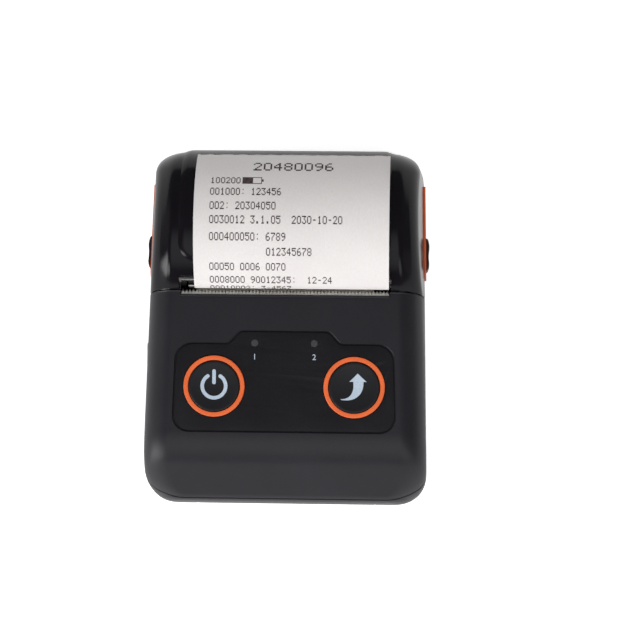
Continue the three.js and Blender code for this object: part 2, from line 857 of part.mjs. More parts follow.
function gearSolid(teeth, x0, x1, phase) {
  const pitchRadius = teeth * gearModule / 2;
  const tip = pitchRadius + addendumShare * gearModule;
  const root = pitchRadius - dedendumShare * gearModule;
  const outline = new THREE.Shape();
  for (let i = 0; i < teeth; i += 1) {
    const corners = [[-toothRootShare, root], [-toothTipShare, tip],
      [toothTipShare, tip], [toothRootShare, root]];
    corners.forEach(([shareOfPitch, radius], k) => {
      const angle = phase + 2 * Math.PI * (i + shareOfPitch) / teeth;
      const place = i || k ? 'lineTo' : 'moveTo';
      outline[place](radius * Math.cos(angle), radius * Math.sin(angle));
    });
  }
  outline.closePath();
  return plateX(outline, x0, x1);
}

// The reduction gear lies under the platen gear, along the path on which the lid lifts it
const smallPitch = smallWheelTeeth * gearModule / 2;
const platenPitch = platenTeeth * gearModule / 2;
const largePitch = largeWheelTeeth * gearModule / 2;
const pinionPitch = pinionTeeth * gearModule / 2;
const liftAngle = Math.atan2(hingeY - platenY, platenZ - hingeZ);
const trainCentres = smallPitch + platenPitch + gearBacklash;
const gearY = platenY - trainCentres * Math.cos(liftAngle);
const gearZ = platenZ - trainCentres * Math.sin(liftAngle);
const motorDrop = Math.sqrt((largePitch + pinionPitch + gearBacklash) ** 2 - (gearY - motorY) ** 2);
const motorZ = gearZ - motorDrop;
const motorAngle = Math.atan2(motorZ - gearZ, motorY - gearY);

addPiece('platen_gear',
  gearSolid(platenTeeth, innerWheelX, innerWheelEnd, liftAngle + Math.PI)
    .subtract(rodX(platenShaftRadius + runningGap, -widest, widest, 0, 0)),
  finish(0xe6e2d6, 0.5), platen);

const reduction = new THREE.Group();
reduction.position.set(0, gearY, gearZ);
printer.add(reduction);

addPiece('reduction_gear', joined([
  gearSolid(smallWheelTeeth, innerWheelX, innerWheelEnd, liftAngle + Math.PI / smallWheelTeeth),
  rodX(smallPitch / 2, innerWheelX, outerWheelEnd, 0, 0),
  gearSolid(largeWheelTeeth, outerWheelX, outerWheelEnd, motorAngle),
]).subtract(rodX(axleRadius + runningGap, -widest, widest, 0, 0)),
finish(0xe6e2d6, 0.5), reduction);

addPiece('gear_axle',
  rodX(axleRadius, chassisInner - fitGap, outerWheelEnd + fitGap, gearY, gearZ, fineFacets)
    .add(rodX(axleRadius + runningGap * 4, chassisInner - fitGap - bushFlangeWidth,
      chassisInner - fitGap, gearY, gearZ, fineFacets)),
  steel());

// Motor and its pinion

const motor = new THREE.Group();
motor.position.set(0, motorY, motorZ);
printer.add(motor);

const motorFace = chassisInner - fitGap;
const shaftStart = motorFace - overrun;
const shaftHole = rodX(motorShaftRadius + runningGap, shaftStart - fitGap, widest, 0, 0, fineFacets);
addPiece('stepper_motor', joined([
  rodX(motorRadius, motorFace - motorLength, motorFace, 0, 0),
  rodX(motorBossRadius, motorFace - chassisWall, chassisInner + chassisWall + runningGap, 0, 0),
  rodX(motorBossRadius, motorFace - motorLength - chassisWall, motorFace - motorLength + chassisWall,
    0, 0, fineFacets),
]).subtract(shaftHole), finish(0x9a9c9f, 0.4, 1), motor);

addPiece('motor_pinion',
  gearSolid(pinionTeeth, outerWheelX, outerWheelEnd,
    motorAngle + Math.PI + Math.PI / pinionTeeth)
    .add(rodX(motorShaftRadius, shaftStart, outerWheelX + outerWheelWidth / 2, 0, 0, fineFacets)),
  finish(0xc9a24a, 0.35, 1), motor);

// Chassis: two cheeks and a front web in folded sheet

function chassis() {
  const lean = (chassisTopZ - platenZ) * (platenZ - hingeZ + chassisTopZ - platenZ)
    / (hingeY - platenY);
  const [slotFront, slotRear] = [platenY - bushRadius - fitGap, platenY + bushRadius + fitGap];
  const cheek = new THREE.Shape();
  cheek.moveTo(chassisFrontY, chassisBottomZ);
  cheek.lineTo(chassisRearY - 2 * frameArmRadius, chassisBottomZ);
  cheek.lineTo(chassisRearY, platenZ - 2 * frameArmRadius);
  cheek.lineTo(chassisRearY, platenZ + fitGap);
  cheek.lineTo(slotRear + lean + chassisWall, chassisTopZ);
  cheek.lineTo(slotRear + lean, chassisTopZ);
  cheek.lineTo(slotRear, platenZ);
  cheek.absarc(platenY, platenZ, bushRadius + fitGap, 0, Math.PI, true);
  cheek.lineTo(slotFront, chassisWebTopZ);
  cheek.lineTo(chassisWebY, chassisWebTopZ);
  cheek.lineTo(chassisWebY, chassisWebBottomZ);
  cheek.lineTo(chassisFrontY, motorZ + motorRadius);
  cheek.closePath();
  const [inner, outer] = [chassisInner, chassisInner + chassisWall];
  const cheeks = [plateX(cheek, inner, outer), plateX(cheek, -outer, -inner)];
  const web = block(-outer, outer, chassisWebY, chassisWebY + chassisWall,
    chassisWebBottomZ, chassisWebTopZ);
  const tabLeft = sensorX - sensorWidth / 2 - chassisWall;
  const tabRight = sensorX + sensorWidth / 2 + chassisWall;
  const tabLow = chassisWebBottomZ - sensorTabSink;
  const tab = joined([
    block(tabLeft, tabRight, chassisWebY, chassisWebY + chassisWall, tabLow, chassisWebBottomZ + chassisWall),
    block(tabLeft, tabRight, chassisWebY, webFrontY - fitGap, tabLow, tabLow + chassisWall),
  ]);
  const holes = [
    rodX(motorBossRadius + fitGap, 0, widest, motorY, motorZ),
    rodX(axleRadius + runningGap, 0, widest, gearY, gearZ, fineFacets),
    rodX(headPivotRadius + runningGap, -widest, widest, headPivotY, headPivotZ, fineFacets),
  ];
  return cutBy(joined([...cheeks, web, tab]), holes);
}

addPiece('print_chassis', chassis(), finish(0x8f9194, 0.4, 1));

// Thermal print head on its sprung heat sink

const headFront = webFrontY - runningGap * 2 - headThickness;
addPiece('print_head',
  block(-headLength / 2, headLength / 2, headFront, headFront + headThickness,
    headBottomZ, headBottomZ + headHeight)
    .add(rodX(headThickness / 2, -paperX, paperX, headFront + headThickness - runningGap * 3, platenZ,
      fineFacets).intersect(block(-headLength / 2, headLength / 2, headFront,
      headFront + headThickness + runningGap, headBottomZ, headBottomZ + headHeight))),
  finish(0xc4bfb2, 0.35));

function headHeatsink() {
  const rear = headFront;
  const front = rear - heatsinkThickness;
  const plate = block(-headLength / 2, headLength / 2, front, rear,
    headBottomZ + fitGap, headBottomZ + headHeight - fitGap);
  const lugs = [-1, 1].map((side) => {
    const x = side * headLugSpacing / 2;
    const [x0, x1] = [x - headLugWidth / 2, x + headLugWidth / 2];
    return rodX(headLugRadius, x0, x1, headPivotY, headPivotZ, fineFacets)
      .add(block(x0, x1, headPivotY - headLugRadius / 2, rear, headPivotZ, headBottomZ + headLugRadius));
  });
  const pinHole = rodX(headPivotRadius + runningGap, -widest, widest, headPivotY, headPivotZ, fineFacets);
  return joined([plate, ...lugs]).subtract(pinHole);
}

addPiece('head_heatsink', headHeatsink(), finish(0xa9acb0, 0.4, 1));

addPiece('head_pivot_pin',
  rodX(headPivotRadius, -chassisInner - chassisWall - fitGap, chassisInner + chassisWall + fitGap,
    headPivotY, headPivotZ, fineFacets), steel());

// A coil spring along Y, wound as one unbroken wire with closed ends
function springSolid(radius, length, turns) {
  const [steps, sides] = [springSteps * turns, springSides];
  const run = length - springWire;
  const centreRadius = radius - springWire / 2;
  const pointAt = (share) => new THREE.Vector3(
    centreRadius * Math.cos(2 * Math.PI * turns * share),
    springWire / 2 + run * share,
    centreRadius * Math.sin(2 * Math.PI * turns * share));
  const points = [];
  for (let i = 0; i <= steps; i += 1) {
    const angle = 2 * Math.PI * turns * i / steps;
    const out = new THREE.Vector3(Math.cos(angle), 0, Math.sin(angle));
    for (let j = 0; j < sides; j += 1) {
      const round = 2 * Math.PI * j / sides;
      const offset = out.clone().multiplyScalar(Math.cos(round) * springWire / 2);
      offset.y += Math.sin(round) * springWire / 2;
      points.push(pointAt(i / steps).add(offset));
    }
  }
  const index = [];
  for (let i = 0; i < steps; i += 1) {
    for (let j = 0; j < sides; j += 1) {
      const [a, b] = [i * sides + j, i * sides + (j + 1) % sides];
      index.push(a, b + sides, a + sides, a, b, b + sides);
    }
  }
  const last = steps * sides;
  for (let j = 1; j + 1 < sides; j += 1) {
    index.push(0, j + 1, j, last, last + j, last + j + 1);
  }
  const geometry = new THREE.BufferGeometry().setFromPoints(points);
  geometry.setIndex(index);
  return geometry.toNonIndexed();
}

const headSpringFront = chassisWebY + chassisWall + fitGap;
const headSpringLength = headFront - heatsinkThickness - fitGap - headSpringFront;
for (const [side, name] of [[-1, 'head_spring_left'], [1, 'head_spring_right']]) {
  const spring = addPiece(name,
    springSolid(headSpringRadius, headSpringLength, springTurns), steel());
  spring.position.set(side * headSpringSpacing / 2, headSpringFront, headBottomZ + headHeight / 2);
}

addPiece('paper_sensor',
  block(sensorX - sensorWidth / 2, sensorX + sensorWidth / 2, webFrontY - fitGap - sensorDepth,
    webFrontY - fitGap, chassisWebBottomZ - sensorTabSink - fitGap / 2 - sensorHeight,
    chassisWebBottomZ - sensorTabSink - fitGap / 2),
  finish(0x17181a, 0.5));

// Paper: the free strip over the lid, the web below the slit, the roll and its core

function thickPath(points, thickness) {
  const sides = [1, -1].map((side) => points.map((point, i) => {
    const before = points[Math.max(i - 1, 0)];
    const after = points[Math.min(i + 1, points.length - 1)];
    const along = after.clone().sub(before).normalize();
    return new THREE.Vector2(-along.y, along.x).multiplyScalar(side * thickness / 2).add(point);
  }));
  return new THREE.Shape([...sides[0], ...sides[1].reverse()]);
}

const nipTopZ = platenZ + platenRadius * nipRiseShare;
const stripFrontY = webFrontY + paperThickness / 2;
const stripRadius = humpRadius + podRise + 2 * fitGap;

function stripPath() {
  const bendY = stripFrontY + stripBendRadius;
  const reach = stripRadius - stripBendRadius;
  const bendZ = humpAxisZ + Math.sqrt(reach ** 2 - (humpAxisY - bendY) ** 2);
  const meet = Math.atan2(bendZ - humpAxisZ, bendY - humpAxisY);
  const points = [new THREE.Vector2(stripFrontY, nipTopZ)];
  for (let i = 0; i <= arcFacets; i += 1) {
    const angle = Math.PI + (meet - Math.PI) * i / arcFacets;
    points.push(new THREE.Vector2(
      bendY + stripBendRadius * Math.cos(angle), bendZ + stripBendRadius * Math.sin(angle)));
  }
  for (let i = 1; i <= pathFacets; i += 1) {
    const angle = meet + (stripEndAngle - meet) * i / pathFacets;
    points.push(new THREE.Vector2(
      humpAxisY + stripRadius * Math.cos(angle), humpAxisZ + stripRadius * Math.sin(angle)));
  }
  return points;
}

// The torn end: a row of notches as wide as the paper
function stripTeeth() {
  const count = Math.round(paperWidth / stripToothPitch);
  const pitch = paperWidth / count;
  const far = stripToothDepth + overrun;
  const outline = new THREE.Shape();
  outline.moveTo(-paperX - overrun, far);
  outline.lineTo(-paperX - overrun, 0);
  outline.lineTo(-paperX, 0);
  for (let i = 0; i < count; i += 1) {
    outline.lineTo(-paperX + i * pitch + pitch / 2, stripToothDepth);
    outline.lineTo(-paperX + (i + 1) * pitch, 0);
  }
  outline.lineTo(paperX + overrun, 0);
  outline.lineTo(paperX + overrun, far);
  outline.closePath();
  const cutter = plateZ(outline, -overrun, overrun);
  const place = new THREE.Matrix4().makeTranslation(stripShift,
    humpAxisY + stripRadius * Math.cos(stripEndAngle),
    humpAxisZ + stripRadius * Math.sin(stripEndAngle));
  place.multiply(new THREE.Matrix4().makeRotationX(stripEndAngle - rightAngle));
  place.multiply(new THREE.Matrix4().makeTranslation(0, -stripToothDepth, 0));
  return solidOf(geometryOf(cutter).applyMatrix4(place));
}

addPiece('paper_strip',
  plateX(thickPath(stripPath(), paperThickness), stripShift - paperX, stripShift + paperX)
    .subtract(stripTeeth()),
  paperWhite());

const rollZ = humpAxisZ - binRadius + rollRadius + fitGap;
// The web runs straight from the front of the roll to the nip, then up between head and platen
function webPath() {
  const low = new THREE.Vector2(stripFrontY, platenZ - platenRadius / 2);
  const away = low.clone().sub(new THREE.Vector2(humpAxisY, rollZ));
  const reach = rollRadius + fitGap + paperThickness / 2;
  const angle = away.angle() + Math.acos(reach / away.length());
  const touch = new THREE.Vector2(
    humpAxisY + reach * Math.cos(angle), rollZ + reach * Math.sin(angle));
  return [touch, low, new THREE.Vector2(stripFrontY, nipTopZ - fitGap)];
}

addPiece('paper_web',
  plateX(thickPath(webPath(), paperThickness), -paperX, paperX), paperWhite());

const roll = new THREE.Group();
roll.position.set(0, humpAxisY, rollZ);
printer.add(roll);

addPiece('paper_roll',
  rodX(rollRadius, -paperX, paperX, 0, 0, ringFacets)
    .subtract(rodX(coreOuterRadius + runningGap, -widest, widest, 0, 0, ringFacets)),
  paperWhite(), roll);

addPiece('roll_core',
  rodX(coreOuterRadius, -paperX, paperX, 0, 0, ringFacets)
    .subtract(rodX(coreInnerRadius, -widest, widest, 0, 0, ringFacets)),
  finish(0x9c7d56, 0.9), roll);

const binInnerX = paperX + 2 * fitGap;

function paperBin() {
  const outerX = binInnerX + binWall;
  const trough = new THREE.Shape();
  trough.absarc(humpAxisY, humpAxisZ, binRadius + binWall, binFrontAngle, binRearAngle, false);
  trough.absarc(humpAxisY, humpAxisZ, binRadius, binRearAngle, binFrontAngle, true);
  trough.closePath();
  const cheek = new THREE.Shape();
  cheek.absarc(humpAxisY, humpAxisZ, binRadius + binWall, binFrontAngle, binRearAngle, false);
  cheek.lineTo(humpAxisY + binCheekRadius, humpAxisZ);
  cheek.absarc(humpAxisY, humpAxisZ, binCheekRadius, 0, Math.PI, false);
  cheek.closePath();
  const trim = plateX(trough, -outerX, outerX, longArcFacets);
  const cheeks = [[-outerX, -binInnerX], [binInnerX, outerX]];
  return joined([trim, ...cheeks.map(([x0, x1]) => plateX(cheek, x0, x1, longArcFacets))]);
}

addPiece('paper_bin', paperBin(), innerBlack());

// Ribbon from the print head to the circuit board, under the chassis lip

function flexPath() {
  const top = new THREE.Vector2(headFront + headThickness / 2, headBottomZ - fitGap);
  const last = deckPoint(boardFront + boardLength - overrun,
    -boardDepth - boardThickness - connectorHeight - 2 * fitGap);
  const low = last.y - flexBendRadius - flexThickness;
  const bend = flexBendRadius;
  const points = [top];
  for (let i = 0; i <= cornerFacets; i += 1) {
    const angle = rightAngle * i / cornerFacets;
    points.push(new THREE.Vector2(
      top.x - bend + bend * Math.cos(angle), low + bend - bend * Math.sin(angle)));
  }
  for (let i = 0; i <= cornerFacets; i += 1) {
    const angle = rightAngle * i / cornerFacets;
    points.push(new THREE.Vector2(
      last.x + bend - bend * Math.sin(angle), low + bend - bend * Math.cos(angle)));
  }
  points.push(last);
  return points;
}

addPiece('head_flex_cable',
  plateX(thickPath(flexPath(), flexThickness), flexX - flexWidth / 2, flexX + flexWidth / 2),
  finish(0xb06a2c, 0.5));

// Lower case

const screwPlaces = [
  [-frontScrewX, frontScrewY], [frontScrewX, frontScrewY],
  [-rearScrewX, rearScrewY], [rearScrewX, rearScrewY],
];

function lowerCase() {
  const top = partingHeight - seamGap / 2;
  const floor = feetHeight + caseWall;
  const shell = outerBody.subtract(caseCavity).intersect(
    block(-widest, widest, -widest, widest, 0, top));
  const ribs = [];
  for (const side of [-1, 1]) {
    const rib = new THREE.Shape();
    const radius = binRadius + binWall + fitGap;
    const [spanY, spanZ] = [radius * Math.sin(binRibHalfAngle), radius * Math.cos(binRibHalfAngle)];
    rib.moveTo(humpAxisY - spanY, floor - caseWall / 2);
    rib.lineTo(humpAxisY + spanY, floor - caseWall / 2);
    rib.lineTo(humpAxisY + spanY, humpAxisZ - spanZ);
    rib.absarc(humpAxisY, humpAxisZ, radius, binRibHalfAngle - rightAngle,
      -binRibHalfAngle - rightAngle, true);
    rib.closePath();
    const x = side * binRibSpacing / 2;
    ribs.push(plateX(rib, x - binRibThickness / 2, x + binRibThickness / 2));
    const postX = side * (chassisInner + chassisWall / 2);
    ribs.push(block(postX - chassisWall, postX + chassisWall, chassisFrontY + caseWall,
      chassisRearY - 2 * frameArmRadius - caseWall, floor - caseWall / 2, chassisBottomZ - fitGap));
  }
  const bosses = screwPlaces.map(([x, y]) => rodZ(bossRadius, x, y, floor - caseWall / 2, top));
  const wells = screwPlaces.flatMap(([x, y]) => [
    rodZ(screwShankRadius + fitGap, x, y, 0, widest, fineFacets),
    rodZ(screwHeadRadius + runningGap, x, y, 0, feetHeight + screwHeadSink),
  ]);
  const coverHole = block(-coverWidth / 2 - fitGap, coverWidth / 2 + fitGap, -widest,
    coverRearY + fitGap, 0, coverLipZ + fitGap);
  const contactShelf = block(-contactWidth / 2 - caseWall, contactWidth / 2 + caseWall,
    coverRearY + caseWall, coverRearY + caseWall + contactDepth,
    floor - caseWall / 2, cellZ - contactHeight / 2 - fitGap);
  return cutBy(joined([shell, ...ribs, ...bosses, contactShelf]), [...wells, coverHole]);
}

addPiece('lower_case', lowerCase(), caseBlack());

// Upper case: front deck, side walls under the lid and the centre of the hinge

function inlayOutline(grow) {
  const height = inlayTopZ - inlayBottomZ;
  return roundedOutline([
    [inlayFrontY - grow, inlayBottomZ - grow, height * inlayRoundShare],
    [inlayRearY + grow, inlayBottomZ - grow, inlayRearRadius],
    [inlayRearY + grow, inlayTopZ + grow, inlayRearRadius],
    [inlayFrontY - grow, inlayTopZ + grow, height * inlayRoundShare],
  ]);
}

const leverMidZ = (inlayBottomZ + inlayTopZ) / 2;

function leverWindow(grow) {
  return boxOutline(leverFrontY - grow, leverFrontY + leverLength + grow,
    leverMidZ - leverHeight / 2 - grow, leverMidZ + leverHeight / 2 + grow, leverCornerRadius + grow / 2);
}

function sideWindows() {
  const window = plateX(leverWindow(slotGap), leverArmX, widest, cornerFacets);
  return [window, solidOf(mirrored(geometryOf(window)))];
}

function upperCase() {
  const bottom = partingHeight + seamGap / 2;
  const above = block(-widest, widest, -widest, widest, bottom, widest);
  const shell = outerBody.subtract(caseCavity).intersect(above);
  const lidSpace = plateX(lidOutline(seamGap), -widest, widest);
  const hingeSpace = block(-widest, widest, knuckleFrontY - fitGap, widest,
    hingeZ - knuckleRadius - 2 * fitGap, widest);
  const centreWall = outerBody.subtract(caseCavity).intersect(
    block(-centreKnuckleWidth / 2, centreKnuckleWidth / 2, hingeY, widest,
      hingeZ - 2 * knuckleRadius, hingeZ));
  const knuckle = rodX(knuckleRadius, -centreKnuckleWidth / 2, centreKnuckleWidth / 2, hingeY, hingeZ)
    .intersect(outerBody);
  const bosses = [];
  screwPlaces.forEach(([x, y]) => {
    const topZ = y > 0 ? inlayTopZ : humpAxisZ + humpRadius;
    bosses.push(rodZ(bossRadius, x, y, bottom, topZ).intersect(caseMiddle));
    if (y > 0) {
      const outer = Math.sign(x) * rearWidth / 2;
      bosses.push(block(Math.min(x, outer), Math.max(x, outer), y - caseWall / 2 + bossRadius / 2,
        y + caseWall / 2 + bossRadius / 2, bottom, inlayTopZ - fitGap).intersect(caseMiddle));
    }
  });
  const posts = [];
  for (const v of postRows) {
    for (const side of [-1, 1]) {
      posts.push(fromDeck(deckRod(deckPostRadius, side * deckPostSpacing / 2, v,
        fitGap - boardDepth, -caseWall / 2, fineFacets)));
    }
  }
  const body = joined([cutBy(shell, [lidSpace, hingeSpace]), centreWall, knuckle, ...bosses, ...posts]);
  const screwHoles = screwPlaces.map(([x, y]) => rodZ(screwHoleRadius, x, y, 0,
    bottom + screwLength - overrun, fineFacets));
  const recess = fromDeck(plateZ(panelOutline(fitGap), -panelRecess, overrun));
  const keyHoles = keyPlaces.map((x) => fromDeck(
    deckRod(ringInnerRadius, x, keyFromPanelFront, -boardDepth / 2, overrun, ringFacets)));
  const lightHoles = lightPlaces.map((x) => fromDeck(
    deckRod(lightRadius + runningGap, x, lightFromPanelFront, -boardDepth / 2, overrun, fineFacets)));
  const barSeat = fromDeck(block(-tearBarLength / 2 - fitGap, tearBarLength / 2 + fitGap,
    seamFromPanelFront + tearTipsFromSeam - tearToothDepth - tearBarDepth - fitGap,
    seamFromPanelFront + overrun, -tearBarSink - runningGap, overrun));
  const bore = rodX(hingePinRadius + runningGap, -widest, widest, hingeY, hingeZ);
  const inlaySeat = plateX(inlayOutline(runningGap), 0, widest)
    .subtract(bodySolid(inlayThickness + runningGap));
  const inlaySeats = [inlaySeat, solidOf(mirrored(geometryOf(inlaySeat)))];
  return cutBy(body, [...screwHoles, recess, ...keyHoles, ...lightHoles, barSeat, bore,
    fromDeck(usbBox(runningGap)), ...inlaySeats, ...sideWindows()]);
}

addPiece('upper_case', upperCase(), caseBlack());

const inlay = bodySolid(-inlayProud).subtract(bodySolid(inlayThickness))
  .intersect(plateX(inlayOutline(0), 0, widest))
  .subtract(plateX(leverWindow(slotGap), leverArmX, widest, cornerFacets));
addPair('side_inlay', inlay, orangePlastic);

// Release levers on their upright pins

function leverSolid() {
  const [front, rear] = [leverFrontY, leverFrontY + leverLength];
  const tab = new THREE.Shape();
  tab.moveTo(leverInnerX, front);
  tab.lineTo(leverEdgeX, front);
  tab.bezierCurveTo(leverEdgeX + leverBulge, front, leverEdgeX + leverBulge, rear, leverEdgeX, rear);
  tab.lineTo(leverInnerX, rear);
  tab.closePath();
  const [low, high] = [leverMidZ - leverHeight / 2, leverMidZ + leverHeight / 2];
  const finger = plateZ(tab, low, high).intersect(
    plateX(leverWindow(0), 0, widest, cornerFacets));
  const dish = new THREE.SphereGeometry(leverDishRadius, ringFacets, roundFacets)
    .rotateX(rightAngle)
    .translate(leverEdgeX + leverBulge * leverReachShare + leverDishRadius - leverDishDepth,
      (front + rear) / 2, leverMidZ);
  const arm = block(leverArmX, leverArmX + leverArmThickness, front, leverPinY, low, high);
  const boss = rodZ(leverBossRadius, leverPinX, leverPinY, low, high);
  return joined([finger.subtract(solidOf(dish)), arm, boss])
    .subtract(rodZ(leverPinRadius + runningGap, leverPinX, leverPinY, -widest, widest, fineFacets));
}

addPair('release_lever', leverSolid(), caseBlack);

addPair('lever_pin', rodZ(leverPinRadius, leverPinX, leverPinY,
  leverMidZ - leverPinLength / 2, leverMidZ + leverPinLength / 2, fineFacets), steel);

// Hinge pin through the three knuckles
addPiece('hinge_pin',
  rodX(hingePinRadius, fitGap * 2 - hingeWidth / 2, hingeWidth / 2 - fitGap * 2, hingeY, hingeZ),
  steel());

// Tear bar on the rear edge of the deck
addPiece('tear_bar',
  plateZ(tearBarOutline(), -tearBarSink, tearBarThickness - tearBarSink), steel(), deck);

// Keypad panel, key rings, keys, light pipes

function keypadPanel() {
  const slab = plateZ(panelOutline(0), -panelRecess, -panelSink);
  const holes = keyPlaces.map((x) => deckRod(
    ringOuterRadius + runningGap, x, keyFromPanelFront, -overrun, overrun, ringFacets));
  const lights = lightPlaces.map((x) => deckRod(
    lightRadius + runningGap, x, lightFromPanelFront, -overrun, overrun, fineFacets));
  return cutBy(slab, [...holes, ...lights]);
}

addPiece('keypad_panel', keypadPanel(), finish(0x222225, 0.55), deck);

function latheZ(profile, facets = ringFacets) {
  const points = profile.map(([radius, height]) => new THREE.Vector2(radius, height));
  return solidOf(new THREE.LatheGeometry(points, facets).rotateX(rightAngle));
}

function keyRing() {
  const bevel = (ringOuterRadius - ringInnerRadius) / 4;
  const [low, high] = [-panelRecess, ringProud];
  return latheZ([
    [ringInnerRadius, low], [ringOuterRadius, low], [ringOuterRadius, high - bevel],
    [ringOuterRadius - bevel, high], [ringInnerRadius + bevel, high],
    [ringInnerRadius, high - bevel], [ringInnerRadius, low],
  ]);
}

function keyCap() {
  const low = keyProud - keyHeight;
  const rim = keyRadius - keyDish;
  const flange = keyRadius + keyFlangeWidth;
  const stemEnd = switchHeight + switchPlungerHeight + keyTravel + keySwitchSlack - boardDepth;
  return latheZ([
    [0, stemEnd], [keyStemRadius, stemEnd],
    [keyStemRadius, low], [flange, low], [flange, low + keyFlangeThickness],
    [keyRadius, low + keyFlangeThickness], [keyRadius, keyProud - keyDish / 2],
    [rim, keyProud], [rim * dishWidthShare, keyProud - keyDish * dishDepthShare], [0, keyProud - keyDish],
  ]);
}

keyPlaces.forEach((x, i) => {
  const name = ['power', 'feed'][i];
  const ring = addPiece(`${name}_key_ring`, keyRing(), orangePlastic(), deck);
  const key = addPiece(`${name}_key`, keyCap(), finish(0x27272a, 0.6), deck);
  ring.position.set(x, keyFromPanelFront, 0);
  key.position.set(x, keyFromPanelFront, 0);
});

lightPlaces.forEach((x, i) => {
  addPiece(['light_pipe_left', 'light_pipe_right'][i],
    deckRod(lightRadius, x, lightFromPanelFront, chipHeight + fitGap - boardDepth,
      -panelSink / 2, fineFacets),
    finish(0x8d8a88, 0.3), deck);
});

// Circuit board with its parts, key switches and the charging socket

function mainBoard() {
  const [low, high] = [-boardDepth - boardThickness, -boardDepth];
  const [x0, x1] = [-boardWidth / 2, boardWidth / 2];
  const rear = boardFront + boardLength;
  const usbEnd = frontWidth / 2 - usbDepth - caseWall;
  const slab = block(x0, x1, boardFront, rear, low, high);
  const tongue = block(-usbEnd, x0 + overrun, usbFromPanelFront - usbWidth,
    usbFromPanelFront + usbWidth, low, high);
  const parts = [
    block(flexX - flexWidth / 2, flexX + flexWidth / 2, rear - 2 * overrun, rear - fitGap,
      low - connectorHeight, low + boardThickness / 2),
    block(-switchSize, switchSize, keyFromPanelFront - switchSize, keyFromPanelFront + switchSize,
      high - boardThickness / 2, high + chipHeight),
    block(boardWidth / 4, boardWidth / 4 + 2 * switchSize, keyFromPanelFront - overrun,
      keyFromPanelFront + overrun, low - chipHeight, low + boardThickness / 2),
  ];
  lightPlaces.forEach((x) => parts.push(block(x - lightRadius, x + lightRadius,
    lightFromPanelFront - lightRadius, lightFromPanelFront + lightRadius,
    high - boardThickness / 2, high + chipHeight)));
  return joined([slab, tongue, ...parts]);
}

addPiece('main_board', mainBoard(), finish(0x1d5a34, 0.5), deck);

const switchSolid = block(-switchSize / 2, switchSize / 2, -switchSize / 2, switchSize / 2,
  fitGap / 2 - boardDepth, switchHeight - boardDepth).add(
  rodZ(switchPlungerRadius, 0, 0, switchHeight / 2 - boardDepth,
    switchHeight + switchPlungerHeight - boardDepth, fineFacets));
keyPlaces.forEach((x, i) => {
  const piece = addPiece(['key_switch_left', 'key_switch_right'][i], switchSolid,
    finish(0x2b2c2e, 0.5), deck);
  piece.position.set(x, keyFromPanelFront, 0);
});

function usbSocket() {
  const inner = frontWidth / 2 - usbDepth - caseWall + fitGap;
  const outer = frontWidth / 2 - caseWall / 2;
  const top = -boardDepth - boardThickness - fitGap / 2;
  const [front, rear] = [usbFromPanelFront - usbWidth / 2, usbFromPanelFront + usbWidth / 2];
  const shell = block(-outer, -inner, front, rear, top - usbHeight, top);
  const mouth = block(-outer - overrun, -inner - usbShell, front + usbShell, rear - usbShell,
    top - usbHeight + usbShell, top - usbShell);
  const tongue = block(-outer + usbShell * 2, -inner - usbShell / 2, front + usbShell * 4,
    rear - usbShell * 4, top - usbHeight / 2 - usbShell, top - usbHeight / 2 + usbShell / 2);
  return shell.subtract(mouth).add(tongue);
}

addPiece('usb_socket', usbSocket(), steel(), deck);

// Battery, contacts and sliding cover

addPiece('battery_pack', plateX(roundedOutline([
  [frontCellY - cellRadius, cellZ - cellRadius, cellRadius * cellRoundShare],
  [rearCellY + cellRadius, cellZ - cellRadius, cellRadius * cellRoundShare],
  [rearCellY + cellRadius, cellZ + cellRadius, cellRadius * cellRoundShare],
  [frontCellY - cellRadius, cellZ + cellRadius, cellRadius * cellRoundShare],
]), -batteryLength / 2, batteryLength / 2), finish(0x2e3d5c, 0.5));

const contactFront = rearCellY + cellRadius + fitGap;
addPiece('battery_contacts', joined([
  block(-contactWidth / 2, contactWidth / 2, coverRearY + caseWall,
    coverRearY + caseWall + contactDepth, cellZ - contactHeight / 2, cellZ + contactHeight / 2),
  ...[-1, 0, 1].map((side) => block(side * contactWidth / 3 - usbShell,
    side * contactWidth / 3 + usbShell, contactFront, coverRearY + caseWall + contactDepth / 2,
    cellZ - contactHeight / 4, cellZ + contactHeight / 4)),
]), finish(0xc9a24a, 0.4, 1));

function batteryCover() {
  const half = coverWidth / 2 - runningGap;
  const skin = outerBody.subtract(caseCavity).intersect(
    block(-half, half, -widest, coverRearY, 0, coverLipZ));
  const floor = feetHeight + caseWall;
  const railLow = floor + fitGap;
  const railHigh = railLow + coverRailHeight;
  const rails = [-1, 1].flatMap((side) => {
    const [inside, outside] = [side * (half - coverRailWidth), side * (half + coverRailWidth)];
    return [
      block(Math.min(inside, side * half), Math.max(inside, side * half), coverRailFrontY,
        coverRailRearY, floor - caseWall / 2, railHigh),
      block(Math.min(inside, outside), Math.max(inside, outside), coverRailFrontY,
        coverRailRearY, railLow, railHigh),
    ];
  });
  return joined([skin, ...rails]);
}

addPiece('battery_cover', batteryCover(), caseBlack());

// Case screws and feet

screwPlaces.forEach(([x, y], i) => {
  const headTop = feetHeight + screwHeadSink - runningGap;
  const screw = joined([
    rodZ(screwHeadRadius, x, y, headTop - screwHeadHeight, headTop),
    rodZ(screwShankRadius, x, y, headTop - screwHeadHeight / 2, headTop + screwLength, fineFacets),
  ]).subtract(block(x - screwHeadRadius / 2, x + screwHeadRadius / 2, y - screwHeadHeight / 6,
    y + screwHeadHeight / 6, 0, headTop - screwHeadHeight / 2));
  addPiece(`case_screw_${i + 1}`, screw, steel());
});

